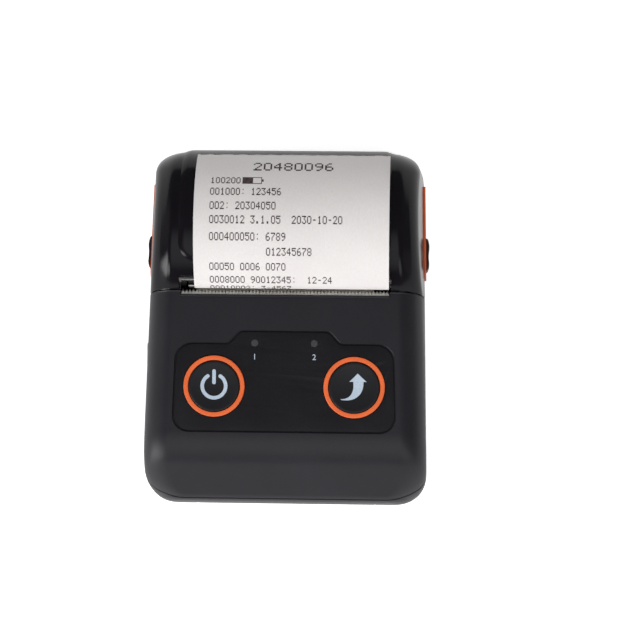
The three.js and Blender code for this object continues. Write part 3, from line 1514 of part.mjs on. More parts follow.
[frontFootY, rearFootY].forEach((y, row) => {
  [-footX, footX].forEach((x, column) => {
    const foot = latheZ([[0, 0], [footRadius - feetHeight / 3, 0], [footRadius, feetHeight / 3],
      [footRadius, feetHeight - runningGap / 2], [0, feetHeight - runningGap / 2]], roundFacets);
    addPiece(`foot_${row * 2 + column + 1}`, foot, rubber()).position.set(x, y, 0);
  });
});

export default printer;
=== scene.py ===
import math

import bmesh
import bpy
import numpy as np
from mathutils import Matrix, Vector


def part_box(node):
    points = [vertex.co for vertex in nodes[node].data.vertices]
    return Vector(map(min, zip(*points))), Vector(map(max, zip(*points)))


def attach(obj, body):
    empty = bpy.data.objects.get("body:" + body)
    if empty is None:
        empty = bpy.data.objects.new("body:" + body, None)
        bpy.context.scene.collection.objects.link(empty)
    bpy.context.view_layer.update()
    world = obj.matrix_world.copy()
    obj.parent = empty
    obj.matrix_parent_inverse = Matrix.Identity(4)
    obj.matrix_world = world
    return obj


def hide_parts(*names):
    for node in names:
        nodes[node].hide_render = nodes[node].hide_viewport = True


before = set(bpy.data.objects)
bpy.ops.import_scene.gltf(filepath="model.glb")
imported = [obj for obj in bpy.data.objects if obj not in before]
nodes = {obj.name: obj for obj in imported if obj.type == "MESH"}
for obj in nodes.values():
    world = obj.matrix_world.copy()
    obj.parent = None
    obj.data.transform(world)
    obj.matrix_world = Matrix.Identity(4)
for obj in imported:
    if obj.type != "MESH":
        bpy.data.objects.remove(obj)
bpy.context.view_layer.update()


# Camera: a long lens almost straight above the printer, a little towards its front and its
# right side, as a shop photograph of a flat lay is taken.

SENSOR_WIDTH, PICTURE_PIXELS, FOCAL_PIXELS = 36, 640, 2504
camera_data = bpy.data.cameras.new("camera")
camera_data.sensor_width = SENSOR_WIDTH
camera_data.lens = FOCAL_PIXELS / PICTURE_PIXELS * SENSOR_WIDTH
camera = bpy.data.objects.new("camera", camera_data)
bpy.context.scene.collection.objects.link(camera)
camera_turn = (Matrix.Rotation(math.radians(0.95), 4, "Z")
               @ Matrix.Rotation(math.radians(2.15), 4, "Y")
               @ Matrix.Rotation(math.radians(9.04), 4, "X"))
camera.matrix_world = Matrix.Translation((0.0395, -0.1154, 0.7613)) @ camera_turn
bpy.context.scene.camera = camera
bpy.context.scene.view_settings.view_transform = "Standard"


# Studio: a white table of painted board under soft boxes. The main box hangs in front and above,
# with weaker ones at the left, behind and at the right; glosses mirror soft glows in their place.

class Wire:
    """An output of a node in a material. Sums, products and comparisons on it add Math nodes."""

    def __init__(self, paint, socket):
        self.paint, self.socket = paint, socket

    def math(self, operation, *others, first=True):
        values = [self, *others] if first else [*others, self]
        return self.paint.node("ShaderNodeMath", {"operation": operation}, dict(enumerate(values)))

    def __add__(self, other):
        return self.math("ADD", other)

    __radd__ = __add__

    def __mul__(self, other):
        return self.math("MULTIPLY", other)

    __rmul__ = __mul__

    def __sub__(self, other):
        return self.math("SUBTRACT", other)

    def __rsub__(self, other):
        return self.math("SUBTRACT", other, first=False)

    def __pow__(self, other):
        return self.math("POWER", other)

    def __gt__(self, other):
        return self.math("GREATER_THAN", other)

    def within(self, low, high):
        """Runs from 0 at low to 1 at high, smoothly, and stays there beyond."""
        return self.paint.node("ShaderNodeMapRange", {"interpolation_type": "SMOOTHSTEP"},
                               {"Value": self, "From Min": low, "From Max": high})


class Paint:
    """A material with one Principled shader; constants go straight onto its sockets."""

    def __init__(self, name, **constants):
        self.material = bpy.data.materials.new(name)
        self.material.use_nodes = True
        self.tree = self.material.node_tree
        self.shader = self.tree.nodes["Principled BSDF"]
        for socket, value in constants.items():
            socket = socket.replace("_", " ")
            self.shader.inputs[socket].default_value = (*value, 1) if socket in (
                "Base Color", "Emission Color") else value

    def node(self, kind, settings=(), sockets=(), output=0):
        made = self.tree.nodes.new(kind)
        for key, value in dict(settings).items():
            setattr(made, key, value)
        for key, value in dict(sockets).items():
            if isinstance(value, Wire):
                self.tree.links.new(value.socket, made.inputs[key])
            else:
                made.inputs[key].default_value = value
        return Wire(self, made.outputs[output])

    def place(self, scale=(1, 1, 1), move=(0, 0, 0)):
        """Object coordinates, stretched and moved."""
        spot = self.node("ShaderNodeTexCoord", output=3)
        return self.node("ShaderNodeMapping", {},
                         {"Vector": spot, "Scale": scale, "Location": move})

    def noise(self, scale, detail=2.0, rough=0.5, at=None):
        return self.node("ShaderNodeTexNoise", {}, {"Vector": at or self.place(), "Scale": scale,
                                                    "Detail": detail, "Roughness": rough})

    def mix(self, share, low, high):
        """A colour that runs from low at 0 to high at 1."""
        return self.node("ShaderNodeMix", {"data_type": "RGBA"},
                         {0: share, 6: (*low, 1), 7: (*high, 1)}, 2)

    def feed(self, **wires):
        for socket, wire in wires.items():
            self.tree.links.new(wire.socket, self.shader.inputs[socket.replace("_", " ")])

    def finish(self, tone, dark, light, rough, height=None, depth=0.0):
        """Base colour from dark to light with the tone, roughness, and the relief of a height
        field, its depth in metres."""
        self.feed(Base_Color=self.mix(tone, dark, light), Roughness=rough)
        if depth:
            self.feed(Normal=self.node("ShaderNodeBump", {}, {"Height": height, "Distance": depth,
                                                              "Strength": 1.0}))
        return self.material


def mesh_of(name, points, *faces):
    """A mesh of points in millimetres, (n, 3), and one or more arrays of faces of equal length."""
    mesh = bpy.data.meshes.new(name)
    corners = np.concatenate([group.ravel() for group in faces]).astype(np.int32)
    sizes = np.concatenate([np.full(len(group), group.shape[1]) for group in faces])
    starts = (np.cumsum(sizes) - sizes).astype(np.int32)
    mesh.vertices.add(len(points))
    mesh.vertices.foreach_set("co", (np.asarray(points) * 0.001).ravel())
    mesh.loops.add(len(corners))
    mesh.loops.foreach_set("vertex_index", corners)
    mesh.polygons.add(len(sizes))
    mesh.polygons.foreach_set("loop_start", starts)
    mesh.update(calc_edges=True)
    mesh.validate()
    return mesh


def piece_of(name, mesh):
    made = bpy.data.objects.new(name, mesh)
    bpy.context.scene.collection.objects.link(made)
    return made


class Surround(Paint):
    """The studio's walls and ceiling, as the world's nodes: their brightness by direction."""

    def __init__(self, name):
        world = bpy.data.worlds.new(name)
        bpy.context.scene.world = world
        world.use_nodes = True
        self.tree = world.node_tree
        self.way = self.node("ShaderNodeTexCoord")

    def glow(self, towards, inner, outer):
        """1 within the inner angle of a direction, softly down to 0 at the outer one (degrees)."""
        near = self.node("ShaderNodeVectorMath", {"operation": "DOT_PRODUCT"},
                         {0: self.way, 1: Vector(towards).normalized()}, output=1)
        return near.within(math.cos(math.radians(outer)), math.cos(math.radians(inner)))


WALL_LIGHT, WHITE_TO_CAMERA = 0.17, 0.83
GLOWS = [((0, -0.6, 0.8), 4, 34, 1.3), ((-0.81, -0.57, 0.09), 4, 18, 11.0),
         ((-0.55, -0.78, 0.26), 3, 11, 8.0), ((0.48, -0.78, 0.42), 4, 16, 2.5),
         ((-1, 0.1, 0.35), 4, 30, 0.3), ((0.9, -0.4, 0.02), 3, 18, 0.3)]
surround = Surround("studio")
walls = sum(surround.glow(*spread) * power for *spread, power in GLOWS) + WALL_LIGHT
to_camera = surround.node("ShaderNodeLightPath", output="Is Camera Ray")
background = surround.tree.nodes["Background"].inputs
surround.tree.links.new((walls + to_camera * WHITE_TO_CAMERA).socket, background["Strength"])
background["Color"].default_value = (1, 1, 1, 1)

TABLE_HALF, LIT_TO_CAMERA, LIT_TO_GLOSS = 9000, 0.62, 0.16
table_paint = Paint("table_white", Base_Color=(0.94, 0.94, 0.94), Roughness=0.8,
                    Emission_Color=(1, 1, 1))
by_camera, by_gloss, by_glass = (table_paint.node("ShaderNodeLightPath", output=f"Is {kind} Ray")
                                 for kind in ("Camera", "Glossy", "Transmission"))
table_paint.feed(Emission_Strength=by_camera * LIT_TO_CAMERA + (by_gloss + by_glass) * LIT_TO_GLOSS)
table_corners = np.array([(-1, -1, 0), (1, -1, 0), (1, 1, 0), (-1, 1, 0)]) * TABLE_HALF
table = piece_of("table", mesh_of("table", table_corners, np.array([[0, 1, 2, 3]])))
table.data.materials.append(table_paint.material)


def soft_box(name, place, size, power, aim=(0, 0, 0.02)):
    """A rectangular lamp, size = (across, up) in metres, turned to look at the printer. Its cloth
    is so wide and soft that it leaves no edge in a gloss, so gloss sees the surround instead."""
    lamp = bpy.data.lights.new(name, "AREA")
    lamp.shape = "RECTANGLE"
    lamp.size, lamp.size_y = size
    lamp.energy = power
    stand = bpy.data.objects.new(name, lamp)
    stand.visible_glossy = False
    bpy.context.scene.collection.objects.link(stand)
    turn = (Vector(aim) - Vector(place)).to_track_quat("-Z", "Y").to_matrix().to_4x4()
    stand.matrix_world = Matrix.Translation(place) @ turn


soft_box("box_front", (0.1, -0.67, 0.69), (0.8, 0.5), 3.4)
soft_box("box_left", (-0.8, 0.05, 0.42), (0.5, 0.7), 2.2)
soft_box("box_right", (0.8, 0.05, 0.42), (0.5, 0.7), 1.0)
soft_box("box_behind", (0, 0.75, 0.55), (0.8, 0.5), 1.7)


# Lower case: a tray moulded in black ABS with a fine spark texture outside. Its skin is half of
# one soft form that both case halves and the lid share: a rounded section carried from the nose
# over the sloping deck to the hump of the roll. Ribs, bosses and the cover's rails stand inside.

HALF_DEPTH = 52.0
FRONT_HALF, REAR_HALF = 42.25, 40.25
SHOULDER, BOTTOM_EDGE, LEAST_EDGE = 8.0, 5.0, 0.5
FRONT_BOTTOM, REAR_BOTTOM, FRONT_CORNER, REAR_CORNER = 6.0, 12.0, 9.0, 8.5
BROW_RADIUS, NOSE_RADIUS, HUMP_RADIUS, HUMP_Y = 15.0, 8.0, 24.0, 28.0
SEAM_Y, BROW_Y, FEET = 7.96, -38.6, 0.8
SLOPE, NOSE = math.radians(8), math.radians(50)
SEAM_Z = HUMP_RADIUS + math.sqrt(HUMP_RADIUS ** 2 - (HUMP_Y - SEAM_Y) ** 2)
BROW_Z = SEAM_Z + (BROW_Y - SEAM_Y) * math.tan(SLOPE)


def top_height(y, inset):
    """Height of the skin's crown at y: nose arc, front slope, brow arc, deck, then the hump's
    circle about the roll, each moved inwards by inset."""
    def slope_at(v):
        return BROW_Z + (v - BROW_Y) * math.tan(NOSE) - inset / math.cos(NOSE)

    def deck_at(v):
        return SEAM_Z + (v - SEAM_Y) * math.tan(SLOPE) - inset / math.cos(SLOPE)

    radius = BROW_RADIUS - inset
    lift = inset / math.cos(NOSE) - inset / math.cos(SLOPE)
    meet = BROW_Y + lift / (math.tan(NOSE) - math.tan(SLOPE))
    reach = radius * math.tan((NOSE - SLOPE) / 2)
    brow = (meet - reach * math.cos(NOSE), meet + reach * math.cos(SLOPE))
    brow_y = brow[1] + radius * math.sin(SLOPE)
    brow_z = deck_at(brow[1]) - radius * math.cos(SLOPE)
    nose = NOSE_RADIUS - inset
    face = inset - HALF_DEPTH
    nose_reach = nose * math.tan((math.pi / 2 - NOSE) / 2)
    nose_end, nose_y = face + nose_reach * math.cos(NOSE), face + nose
    nose_z = slope_at(face) - nose_reach
    hump = HUMP_RADIUS + np.sqrt(np.maximum((HUMP_RADIUS - inset) ** 2 - (y - HUMP_Y) ** 2, 0))
    return np.select(
        [y < nose_end, y < brow[0], y < brow[1], y > HUMP_Y, y < HUMP_Y - HUMP_RADIUS + inset],
        [nose_z + np.sqrt(np.maximum(nose ** 2 - (y - nose_y) ** 2, 0)), slope_at(y),
         brow_z + np.sqrt(np.maximum(radius ** 2 - (y - brow_y) ** 2, 0)), hump, deck_at(y)],
        np.maximum(deck_at(y), hump))


def end_arc(y, face, radius, sign):
    """How far a round of that radius pulls in near an end face: radius less the circle's height."""
    past = np.maximum(sign * y - (sign * face - radius), 0)
    return radius - np.sqrt(np.maximum(radius ** 2 - past ** 2, 0))


def section_sizes(y, inset):
    """Half width, crown, floor, shoulder radius and floor radius of the rounded section at y."""
    front, rear = inset - HALF_DEPTH, HALF_DEPTH - inset
    low = (FEET + inset + end_arc(y, front, FRONT_BOTTOM - inset, -1)
           + end_arc(y, rear, REAR_BOTTOM - inset, 1))
    half = (FRONT_HALF + (REAR_HALF - FRONT_HALF) * (y + HALF_DEPTH) / (2 * HALF_DEPTH) - inset
            - end_arc(y, front, FRONT_CORNER - inset, -1)
            - end_arc(y, rear, REAR_CORNER - inset, 1))
    high = top_height(y, inset)
    share = np.minimum(1, (high - low - LEAST_EDGE) / (SHOULDER + BOTTOM_EDGE - 2 * inset))
    return half, high, low, (SHOULDER - inset) * share, (BOTTOM_EDGE - inset) * share


def ring_points(y, inset, upper, angle, across):
    """Points of the section at each y: the corner's centre, across times as far out as it may
    lie, plus its radius along the angle. Upper tells shoulder points from floor ones."""
    half, high, low, shoulder, floor = (v[:, None] for v in section_sizes(y, inset))
    radius = np.where(upper, shoulder, floor)
    x = across * (half - radius) + radius * np.cos(angle)
    z = np.where(upper, high - radius, low + radius) + radius * np.sin(angle)
    return np.stack([x, np.broadcast_to(y[:, None], x.shape), z], -1)


def ring_plan(steps, top=()):
    """Upper, angle and across of one round of section points, with any extra points on the top."""
    quarter = math.pi / 2
    turn = np.linspace(0, quarter, steps + 1)
    parts = [(False, turn - quarter, 1.0), (True, turn, 1.0),
             (True, quarter, np.asarray(top, float)),
             (True, turn + quarter, -1.0), (False, turn + math.pi, -1.0)]
    return [np.concatenate(kind) for kind in zip(*(np.broadcast_arrays(*part) for part in parts))]


def skin_stations(inset, extra=()):
    """Places along Y: equal angles round the front corner and the hump, about 1 mm between."""
    quarter = np.linspace(0, math.pi / 2, 30)
    front = inset - HALF_DEPTH + (FRONT_CORNER - inset) * (1 - np.cos(quarter))
    rear = HUMP_Y + (HUMP_RADIUS - inset) * np.sin(np.linspace(0, math.pi / 2, 46))
    middle = np.linspace(front[-1], HUMP_Y, 84)[1:-1]
    return np.unique(np.concatenate([front, middle, rear, extra]).round(5))


def grid_faces(rows, columns, loop=False):
    """Quads between neighbouring rows of points, closed round along each row."""
    row = np.arange(rows if loop else rows - 1)[:, None]
    column = np.arange(columns)[None, :]
    beside, next_row = (column + 1) % columns, (row + 1) % rows
    return np.stack([row * columns + column, row * columns + beside, next_row * columns + beside,
                     next_row * columns + column], -1).reshape(-1, 4)


def merged(mesh, turn=True):
    """Joins points that coincide, and turns the faces outwards."""
    shape = bmesh.new()
    shape.from_mesh(mesh)
    bmesh.ops.remove_doubles(shape, verts=shape.verts, dist=1e-6)
    if turn:
        bmesh.ops.recalc_face_normals(shape, faces=shape.faces)
    shape.to_mesh(mesh)
    shape.free()
    return mesh


def solid(name, rings, loop=False):
    """A closed skin over rings of points, (rows, columns, 3), capped unless they run in a loop."""
    rows, columns = rings.shape[:2]
    faces = [grid_faces(rows, columns, loop)]
    if not loop:
        first = np.arange(columns)[None, :]
        faces += [first[:, ::-1], first + (rows - 1) * columns]
    return piece_of(name, merged(mesh_of(name, rings.reshape(-1, 3), *faces)))


def skin_solid(name, inset, steps=12):
    """The whole skin moved inwards by inset, as one closed solid."""
    return solid(name, ring_points(skin_stations(inset), inset, *ring_plan(steps)))


def carve(piece, tools, operation="DIFFERENCE"):
    """Cuts, joins or keeps the overlap with each tool in turn, and takes the tools away."""
    for tool in tools:
        step = piece.modifiers.new("step", "BOOLEAN")
        step.operation, step.solver, step.object = operation, "MANIFOLD", tool
    bpy.context.view_layer.update()
    done = piece.evaluated_get(bpy.context.evaluated_depsgraph_get())
    mesh = bpy.data.meshes.new_from_object(done)
    if not len(mesh.polygons):
        raise RuntimeError(f"{piece.name}: nothing is left after {operation}")
    piece.modifiers.clear()
    old, piece.data = piece.data, mesh
    bpy.data.meshes.remove(old)
    for tool in tools:
        mesh = tool.data
        bpy.data.objects.remove(tool)
        if not mesh.users:
            bpy.data.meshes.remove(mesh)
    return piece


FAR = 99


def brick(name, x=(-FAR, FAR), y=(-FAR, FAR), z=(-FAR, FAR)):
    """A square block for cutting. Along a direction without places it runs far past the case."""
    ring = np.array([(x[0], y[0]), (x[1], y[0]), (x[1], y[1]), (x[0], y[1])])
    return solid(name, np.stack([np.column_stack([ring, np.full(4, level)]) for level in z]))


def skin_frame(points, inset=0.0):
    """Distance from the skin and its outward direction at points. Within the section at y it is a
    box with round corners; the direction along Y follows from how each edge point moves with y."""
    x, y, z = points.T
    y_in = np.clip(y, inset - HALF_DEPTH + 2e-3, HALF_DEPTH - inset - 2e-3)
    half, high, low, shoulder, floor = section_sizes(y_in, inset)
    middle = (high + low) / 2
    radius = np.where(z > middle, shoulder, floor)
    out_x = np.abs(x) - (half - radius)
    out_z = np.where(z > middle, z - (high - radius), low + radius - z)
    inside = np.minimum(np.maximum(out_x, out_z), 0)
    distance = np.hypot(np.maximum(out_x, 0), np.maximum(out_z, 0)) + inside - radius
    angle = np.where((out_x <= 0) & (out_z <= 0), np.where(out_x > out_z, 0, math.pi / 2),
                     np.arctan2(np.maximum(out_z, 0), np.maximum(out_x, 0)))

    def edge(v):
        half_v, high_v, low_v, shoulder_v, floor_v = section_sizes(v, inset)
        radius_v = np.where(z > middle, shoulder_v, floor_v)
        reach = np.where(z > middle, high_v, -low_v)
        return half_v - radius_v * (1 - np.cos(angle)), reach - radius_v * (1 - np.sin(angle))

    step = 1e-3
    (x_back, z_back), (x_on, z_on) = edge(y_in - step), edge(y_in + step)
    lean = -(np.cos(angle) * (x_on - x_back) + np.sin(angle) * (z_on - z_back)) / (2 * step)
    rise = np.where(z > middle, 1, -1) * np.sin(angle)
    way = np.stack([np.sign(x) * np.cos(angle), lean, rise], -1)
    length = np.linalg.norm(way, axis=1)
    way /= length[:, None]
    flat = (np.abs(y) > HALF_DEPTH - inset - 1e-3) & (distance < -1e-3)
    way[flat] = np.stack([0 * y, np.sign(y), 0 * y], -1)[flat]
    return np.where(flat, 0, distance / length), way


def read(rows, key, width=3, kind=float):
    """One value of every row of a mesh's list, such as its points, as an array."""
    values = np.zeros(len(rows) * width, kind)
    rows.foreach_get(key, values)
    return values.reshape(-1, width) if width > 1 else values


def shade(piece, insets, angle):
    """Smooth shading with sharp edges past the angle, and on the skin at those insets its exact
    direction, so that cuts leave no ripples in the reflections beside them."""
    mesh = piece.data
    mesh.shade_smooth()
    mesh.set_sharp_from_angle(angle=math.radians(angle))
    normals, faces = read(mesh.corner_normals, "vector"), read(mesh.polygon_normals, "vector")
    points = read(mesh.vertices, "co") * 1000
    corner = read(mesh.loops, "vertex_index", 1, np.int32)
    sizes = read(mesh.polygons, "loop_total", 1, np.int32)
    owner = np.repeat(np.arange(len(sizes)), sizes)
    for inset in insets:
        distance, way = skin_frame(points, inset)
        near = np.abs(distance) < 0.03
        whole = np.bincount(owner, ~near[corner], len(sizes)) == 0
        agree = (faces[owner] * way[corner]).sum(1) > 0.87
        chosen = whole[owner] & agree
        normals[chosen] = way[corner][chosen]
    mesh.normals_split_custom_set(normals)


def finished(piece, body, material, slot, *stands_for, insets=(), angle=28):
    """Shades a finished piece, gives it its material and sets it on its body. The slot is not used.
    """
    shade(piece, insets, angle)
    piece.data.materials.clear()
    piece.data.materials.append(material)
    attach(piece, body)
    if stands_for:
        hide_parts(*stands_for)
    return piece


HALF_GAP, GROOVE_R = 0.15, 0.35


def unit(rows):
    """Rows of vectors brought to length 1."""
    return rows / np.linalg.norm(rows, axis=1)[:, None]


def groove(name, path, loop):
    """A cutter that rounds both edges of a seam: along the path, a section of two quarter arcs
    that start on the gap's walls and open outwards past the skin."""
    out = skin_frame(path)[1]
    along = np.roll(path, -1, 0) - np.roll(path, 1, 0) if loop else np.gradient(path, axis=0)
    across = unit(np.cross(unit(along), out))
    turn = np.radians(np.linspace(0, 66, 6))
    side = np.stack([HALF_GAP + GROOVE_R * (1 - np.cos(turn)), GROOVE_R * (np.sin(turn) - 1)], -1)
    lip = side[-1] + 0.4 * np.array([math.sin(turn[-1]), math.cos(turn[-1])])
    right = np.vstack([[0.04, -GROOVE_R * 1.3], side, lip])
    section = np.vstack([right, right[::-1] * (-1, 1)])
    rings = (path[:, None] + across[:, None] * section[None, :, :1]
             + out[:, None] * section[None, :, 1:])
    return solid(name, rings, loop)


def side_reach(y, z):
    """How far out the section lies at height z: its half width, less what its rounds take."""
    half, high, low, shoulder, floor = section_sizes(y, 0.0)
    return half - end_arc(z, high, shoulder, 1) - end_arc(z, low, floor, -1)


PARTING = 15.0


def parting_path():
    """The closed line round the case at the parting height."""
    y = skin_stations(0.0)
    tall = top_height(y, 0.0)
    low, high = y[tall < PARTING].max(), y[tall > PARTING].min()
    for _ in range(40):
        guess = (low + high) / 2
        below = top_height(np.array([guess]), 0.0)[0] < PARTING
        low, high = (guess, high) if below else (low, guess)
    y = np.concatenate([high + (y[0] + 12 - high) * (1 - np.cos(np.linspace(0, math.pi / 2, 24))),
                        y[y > y[0] + 12.1]])
    x = side_reach(y, PARTING)
    right = np.stack([x, y], -1)
    rear = np.stack([np.linspace(x[-1], -x[-1], 26)[1:-1], np.full(24, y[-1])], -1)
    front = np.stack([np.linspace(-x[0], x[0], 26)[1:-1], np.full(24, y[0])], -1)
    flat = np.concatenate([right, rear, (right * (-1, 1))[::-1], front])
    return np.column_stack([flat, np.full(len(flat), PARTING)])


def cad_inside(node, inset):
    """The ribs, bosses and rails of a CAD node: what of its mesh lies within the skin at inset."""
    copy = piece_of(node + "_inside", merged(nodes[node].data.copy(), turn=False))
    return carve(copy, [skin_solid("inner", inset)], "INTERSECT")


def moulded(name, tone, roughness, grain=5200, depth=6e-6, speck=0.3):
    """Moulded plastic: a spark-eroded grain as bump and as fine specks of lighter and darker
    tone, over a slow unevenness of tone and gloss from the mould and from handling."""
    paint = Paint(name, Specular_IOR_Level=0.3)
    fine = paint.noise(grain, 3.0, 0.6)
    slow = paint.noise(55, 3.0, 0.55)
    darker, lighter = [t * (1 - speck) for t in tone], [t * (1 + speck) for t in tone]
    return paint.finish((fine * 0.85 + slow * 0.3 - 0.08).within(0.25, 0.8), darker, lighter,
                        fine * 0.22 + slow * 0.12 + (roughness - 0.17), fine, depth)


case_black = moulded("case_black", (0.0128, 0.0118, 0.0155), 0.42)

WALL, INNER_WALL = 1.1, 0.75
lower_tray = carve(skin_solid("lower_tray", 0.0),
                   [skin_solid("hollow", WALL), brick("above", z=(PARTING - HALF_GAP, FAR)),
                    brick("cover_hole", (-27.0, 27.0), (-FAR, -7.2), (-1, 7.3))])
carve(lower_tray, [cad_inside("lower_case", INNER_WALL)], "UNION")
carve(lower_tray, [groove("parting_round", parting_path(), True)])
finished(lower_tray, "base", case_black, "case_plastic", "lower_case", insets=(0.0,))


# Upper case: the black ABS deck with its brow and shoulders, the walls beside the roll and the
# middle knuckle of the hinge. It closes on the lower case with a thin rounded parting line.

DECK_FRONT_Y = -32.9
DECK_FRONT_Z = SEAM_Z + (DECK_FRONT_Y - SEAM_Y) * math.tan(SLOPE)


def on_deck(points):
    """Points given as across, up the deck and over it, set in the printer's frame."""
    x, up, over = np.moveaxis(np.asarray(points, float), -1, 0)
    return np.stack([x, DECK_FRONT_Y + up * math.cos(SLOPE) - over * math.sin(SLOPE),
                     DECK_FRONT_Z + up * math.sin(SLOPE) + over * math.cos(SLOPE)], -1)


def along_x(points):
    """Points given as y, z and x, set in the printer's frame."""
    return np.asarray(points, float)[..., [2, 0, 1]]


def across_deck(points):
    """Points given as up the deck, over it and x, set in the printer's frame."""
    return on_deck(along_x(points))


def upright(points):
    """Points given as x, y and z stay as they are."""
    return points


def rounded(corners, steps=8):
    """A polygon of rows (u, v, radius) with its corners rounded: each corner gives way to an arc
    that is tangent to both its sides."""
    rows = np.asarray(corners, float)
    place, radius = rows[:, :2], rows[:, 2]
    back, on = (unit(np.roll(place, step, 0) - place) for step in (1, -1))
    half = np.arccos(np.clip((back * on).sum(1), -1, 1)) / 2
    centre = place + unit(back + on) * (radius / np.sin(half))[:, None]
    first, last = (place + way * (radius / np.tan(half))[:, None] - centre for way in (back, on))
    start = np.arctan2(first[:, 1], first[:, 0])
    sweep = np.arctan2(last[:, 1], last[:, 0]) - start
    sweep = (sweep + math.pi) % (2 * math.pi) - math.pi
    turn = start[:, None] + sweep[:, None] * np.linspace(0, 1, steps + 1)
    arc = centre[:, None] + radius[:, None, None] * np.stack([np.cos(turn), np.sin(turn)], -1)
    points = arc.reshape(-1, 2)
    apart = np.linalg.norm(points - np.roll(points, 1, 0), axis=1) > 1e-5
    return points[apart]


def arc(u, v, radius, start, end, count):
    """Points of a circle about (u, v), from one angle to another in degrees."""
    turn = np.radians(np.linspace(start, end, count))
    return np.stack([u + radius * np.cos(turn), v + radius * np.sin(turn)], -1)


def rounded_box(u, v, radius, steps):
    """The outline of a rectangle over those two ranges, with rounded corners."""
    return rounded([(u[0], v[0], radius), (u[1], v[0], radius), (u[1], v[1], radius),
                    (u[0], v[1], radius)], steps)


def stack(name, levels, place=upright):
    """A solid through outlines of equal length, each at its own height: (outline, height) rows."""
    rings = np.stack([np.column_stack([outline, np.full(len(outline), height)])
                      for outline, height in levels])
    return solid(name, place(rings))


def prism(name, outline, low, high, place=along_x):
    """One outline carried from a low to a high place."""
    return stack(name, [(outline, low), (outline, high)], place)


def turned(name, profile, centre, place=upright, count=96, loop=False):
    """A solid of revolution: rows (radius, height) carried round the centre. It is a ring where
    the profile closes in a loop."""
    radius, height = np.asarray(profile, float).T[..., None]
    turn = np.linspace(0, 2 * math.pi, count, endpoint=False)
    rings = np.stack([centre[0] + radius * np.cos(turn), centre[1] + radius * np.sin(turn),
                      height + 0 * turn], -1)
    return solid(name, place(rings), loop)


def rod(name, radius, low, high, centre, place=along_x, count=72):
    """A plain round rod, or the hole for one."""
    return turned(name, [(0, low), (radius, low), (radius, high), (0, high)], centre, place, count)


def panel_outline(grow):
    """The keypad's outline: wide and slightly narrower at the rear, with a tab up the middle."""
    right = np.array([(32.8, 0, 5), (31.8, 25.5, 5), (16.2, 25.5, 2.4), (12.9, 29.2, 2.4)])
    right += np.array([(grow, -grow, 0)] + [(grow, grow, 0)] * 3)
    return rounded(np.roll(np.vstack([right, right[::-1] * (-1, 1, 1)]), 1, 0), 10)


LEVER_Y, LEVER_Z, WINDOW_FLOOR, OUTSIDE = (16.6, 27), (17.3, 22.1), 37.02, 60


def lid_outline(grow):
    """The lid's outline from the side: its front and lower edge with a round corner between."""
    front, low = SEAM_Y + HALF_GAP - grow, 24.2 - grow
    return rounded([(front, low, 4), (FAR, low, 0.01), (FAR, FAR, 0.01), (front, FAR, 0.01)], 14)


def inlay_outline(grow):
    """The side inlay's outline: round at its front end, nearly square at its rear end."""
    front, rear, low, high = 14.4 - grow, 42.8 + grow, 16.6 - grow, 22.8 + grow
    return rounded([(front, low, 2.79), (rear, low, 0.8), (rear, high, 0.8),
                    (front, high, 2.79)], 12)


def lever_window(side, grow=0.5):
    """A cutter for the window that the release lever stands in."""
    outline = rounded_box((LEVER_Y[0] - grow, LEVER_Y[1] + grow),
                          (LEVER_Z[0] - grow, LEVER_Z[1] + grow), 1.6 + grow / 2, 8)
    return prism("window", outline, WINDOW_FLOOR * side, OUTSIDE * side)


def lid_seam_path():
    """The line of the gap between lid and case: forward along the left side, round the corner, up
    and over the section at the seam, and back along the right side."""
    back = np.linspace(47, 12.4, 40)
    low = np.concatenate([np.stack([back, np.full(40, 24.05)], -1),
                          arc(11.96, 28.05, 4, -90, -180, 14)])
    side = np.column_stack([-side_reach(low[:, 0], low[:, 1]), low])
    upper, angle, across = ring_plan(14, np.linspace(0.96, -0.96, 60))
    over = ring_points(np.array([SEAM_Y]), 0.0, upper, angle, across)[0][upper][::-1]
    return np.concatenate([side, over, (side * (-1, 1, 1))[::-1]])


WALL_LEAN, LEAN_FROM, LEAN_TO, LEAN_INSIDE, LEAN_OUTSIDE = 1.9, 22.0, 42.0, 31.5, 38.5


def lean_in(piece):
    """Draft of the side walls. A point at height share u moves inwards by the lean times
    c = 1.15 u^2 / (u + 0.15), faded in across the wall by a smooth step w. Its direction is turned
    by the transposed inverse of that move, so the shading stays exact."""
    mesh = piece.data
    points, normals = read(mesh.vertices, "co") * 1000, read(mesh.corner_normals, "vector")
    corner = read(mesh.loops, "vertex_index", 1, np.int32)
    x, z = points[:, 0], points[:, 2]
    rise = np.maximum((z - LEAN_FROM) / (LEAN_TO - LEAN_FROM), 0)
    height_share = 1.15 * rise ** 2 / (rise + 0.15)
    height_slope = 1.15 * rise * (rise + 0.3) / (rise + 0.15) ** 2 / (LEAN_TO - LEAN_FROM)
    wide = np.clip((np.abs(x) - LEAN_INSIDE) / (LEAN_OUTSIDE - LEAN_INSIDE), 0, 1)
    wall_share = wide ** 2 * (3 - 2 * wide)
    wall_slope = 6 * wide * (1 - wide) / (LEAN_OUTSIDE - LEAN_INSIDE)
    stretch = 1 - WALL_LEAN * height_share * wall_slope
    shear = -WALL_LEAN * height_slope * wall_share * np.sign(x)
    turned_x = normals[:, 0] / stretch[corner]
    normals = np.column_stack([turned_x, normals[:, 1], normals[:, 2] - shear[corner] * turned_x])
    points[:, 0] = x - np.sign(x) * WALL_LEAN * height_share * wall_share
    mesh.vertices.foreach_set("co", (points * 0.001).ravel())
    mesh.update()
    mesh.normals_split_custom_set(unit(normals))


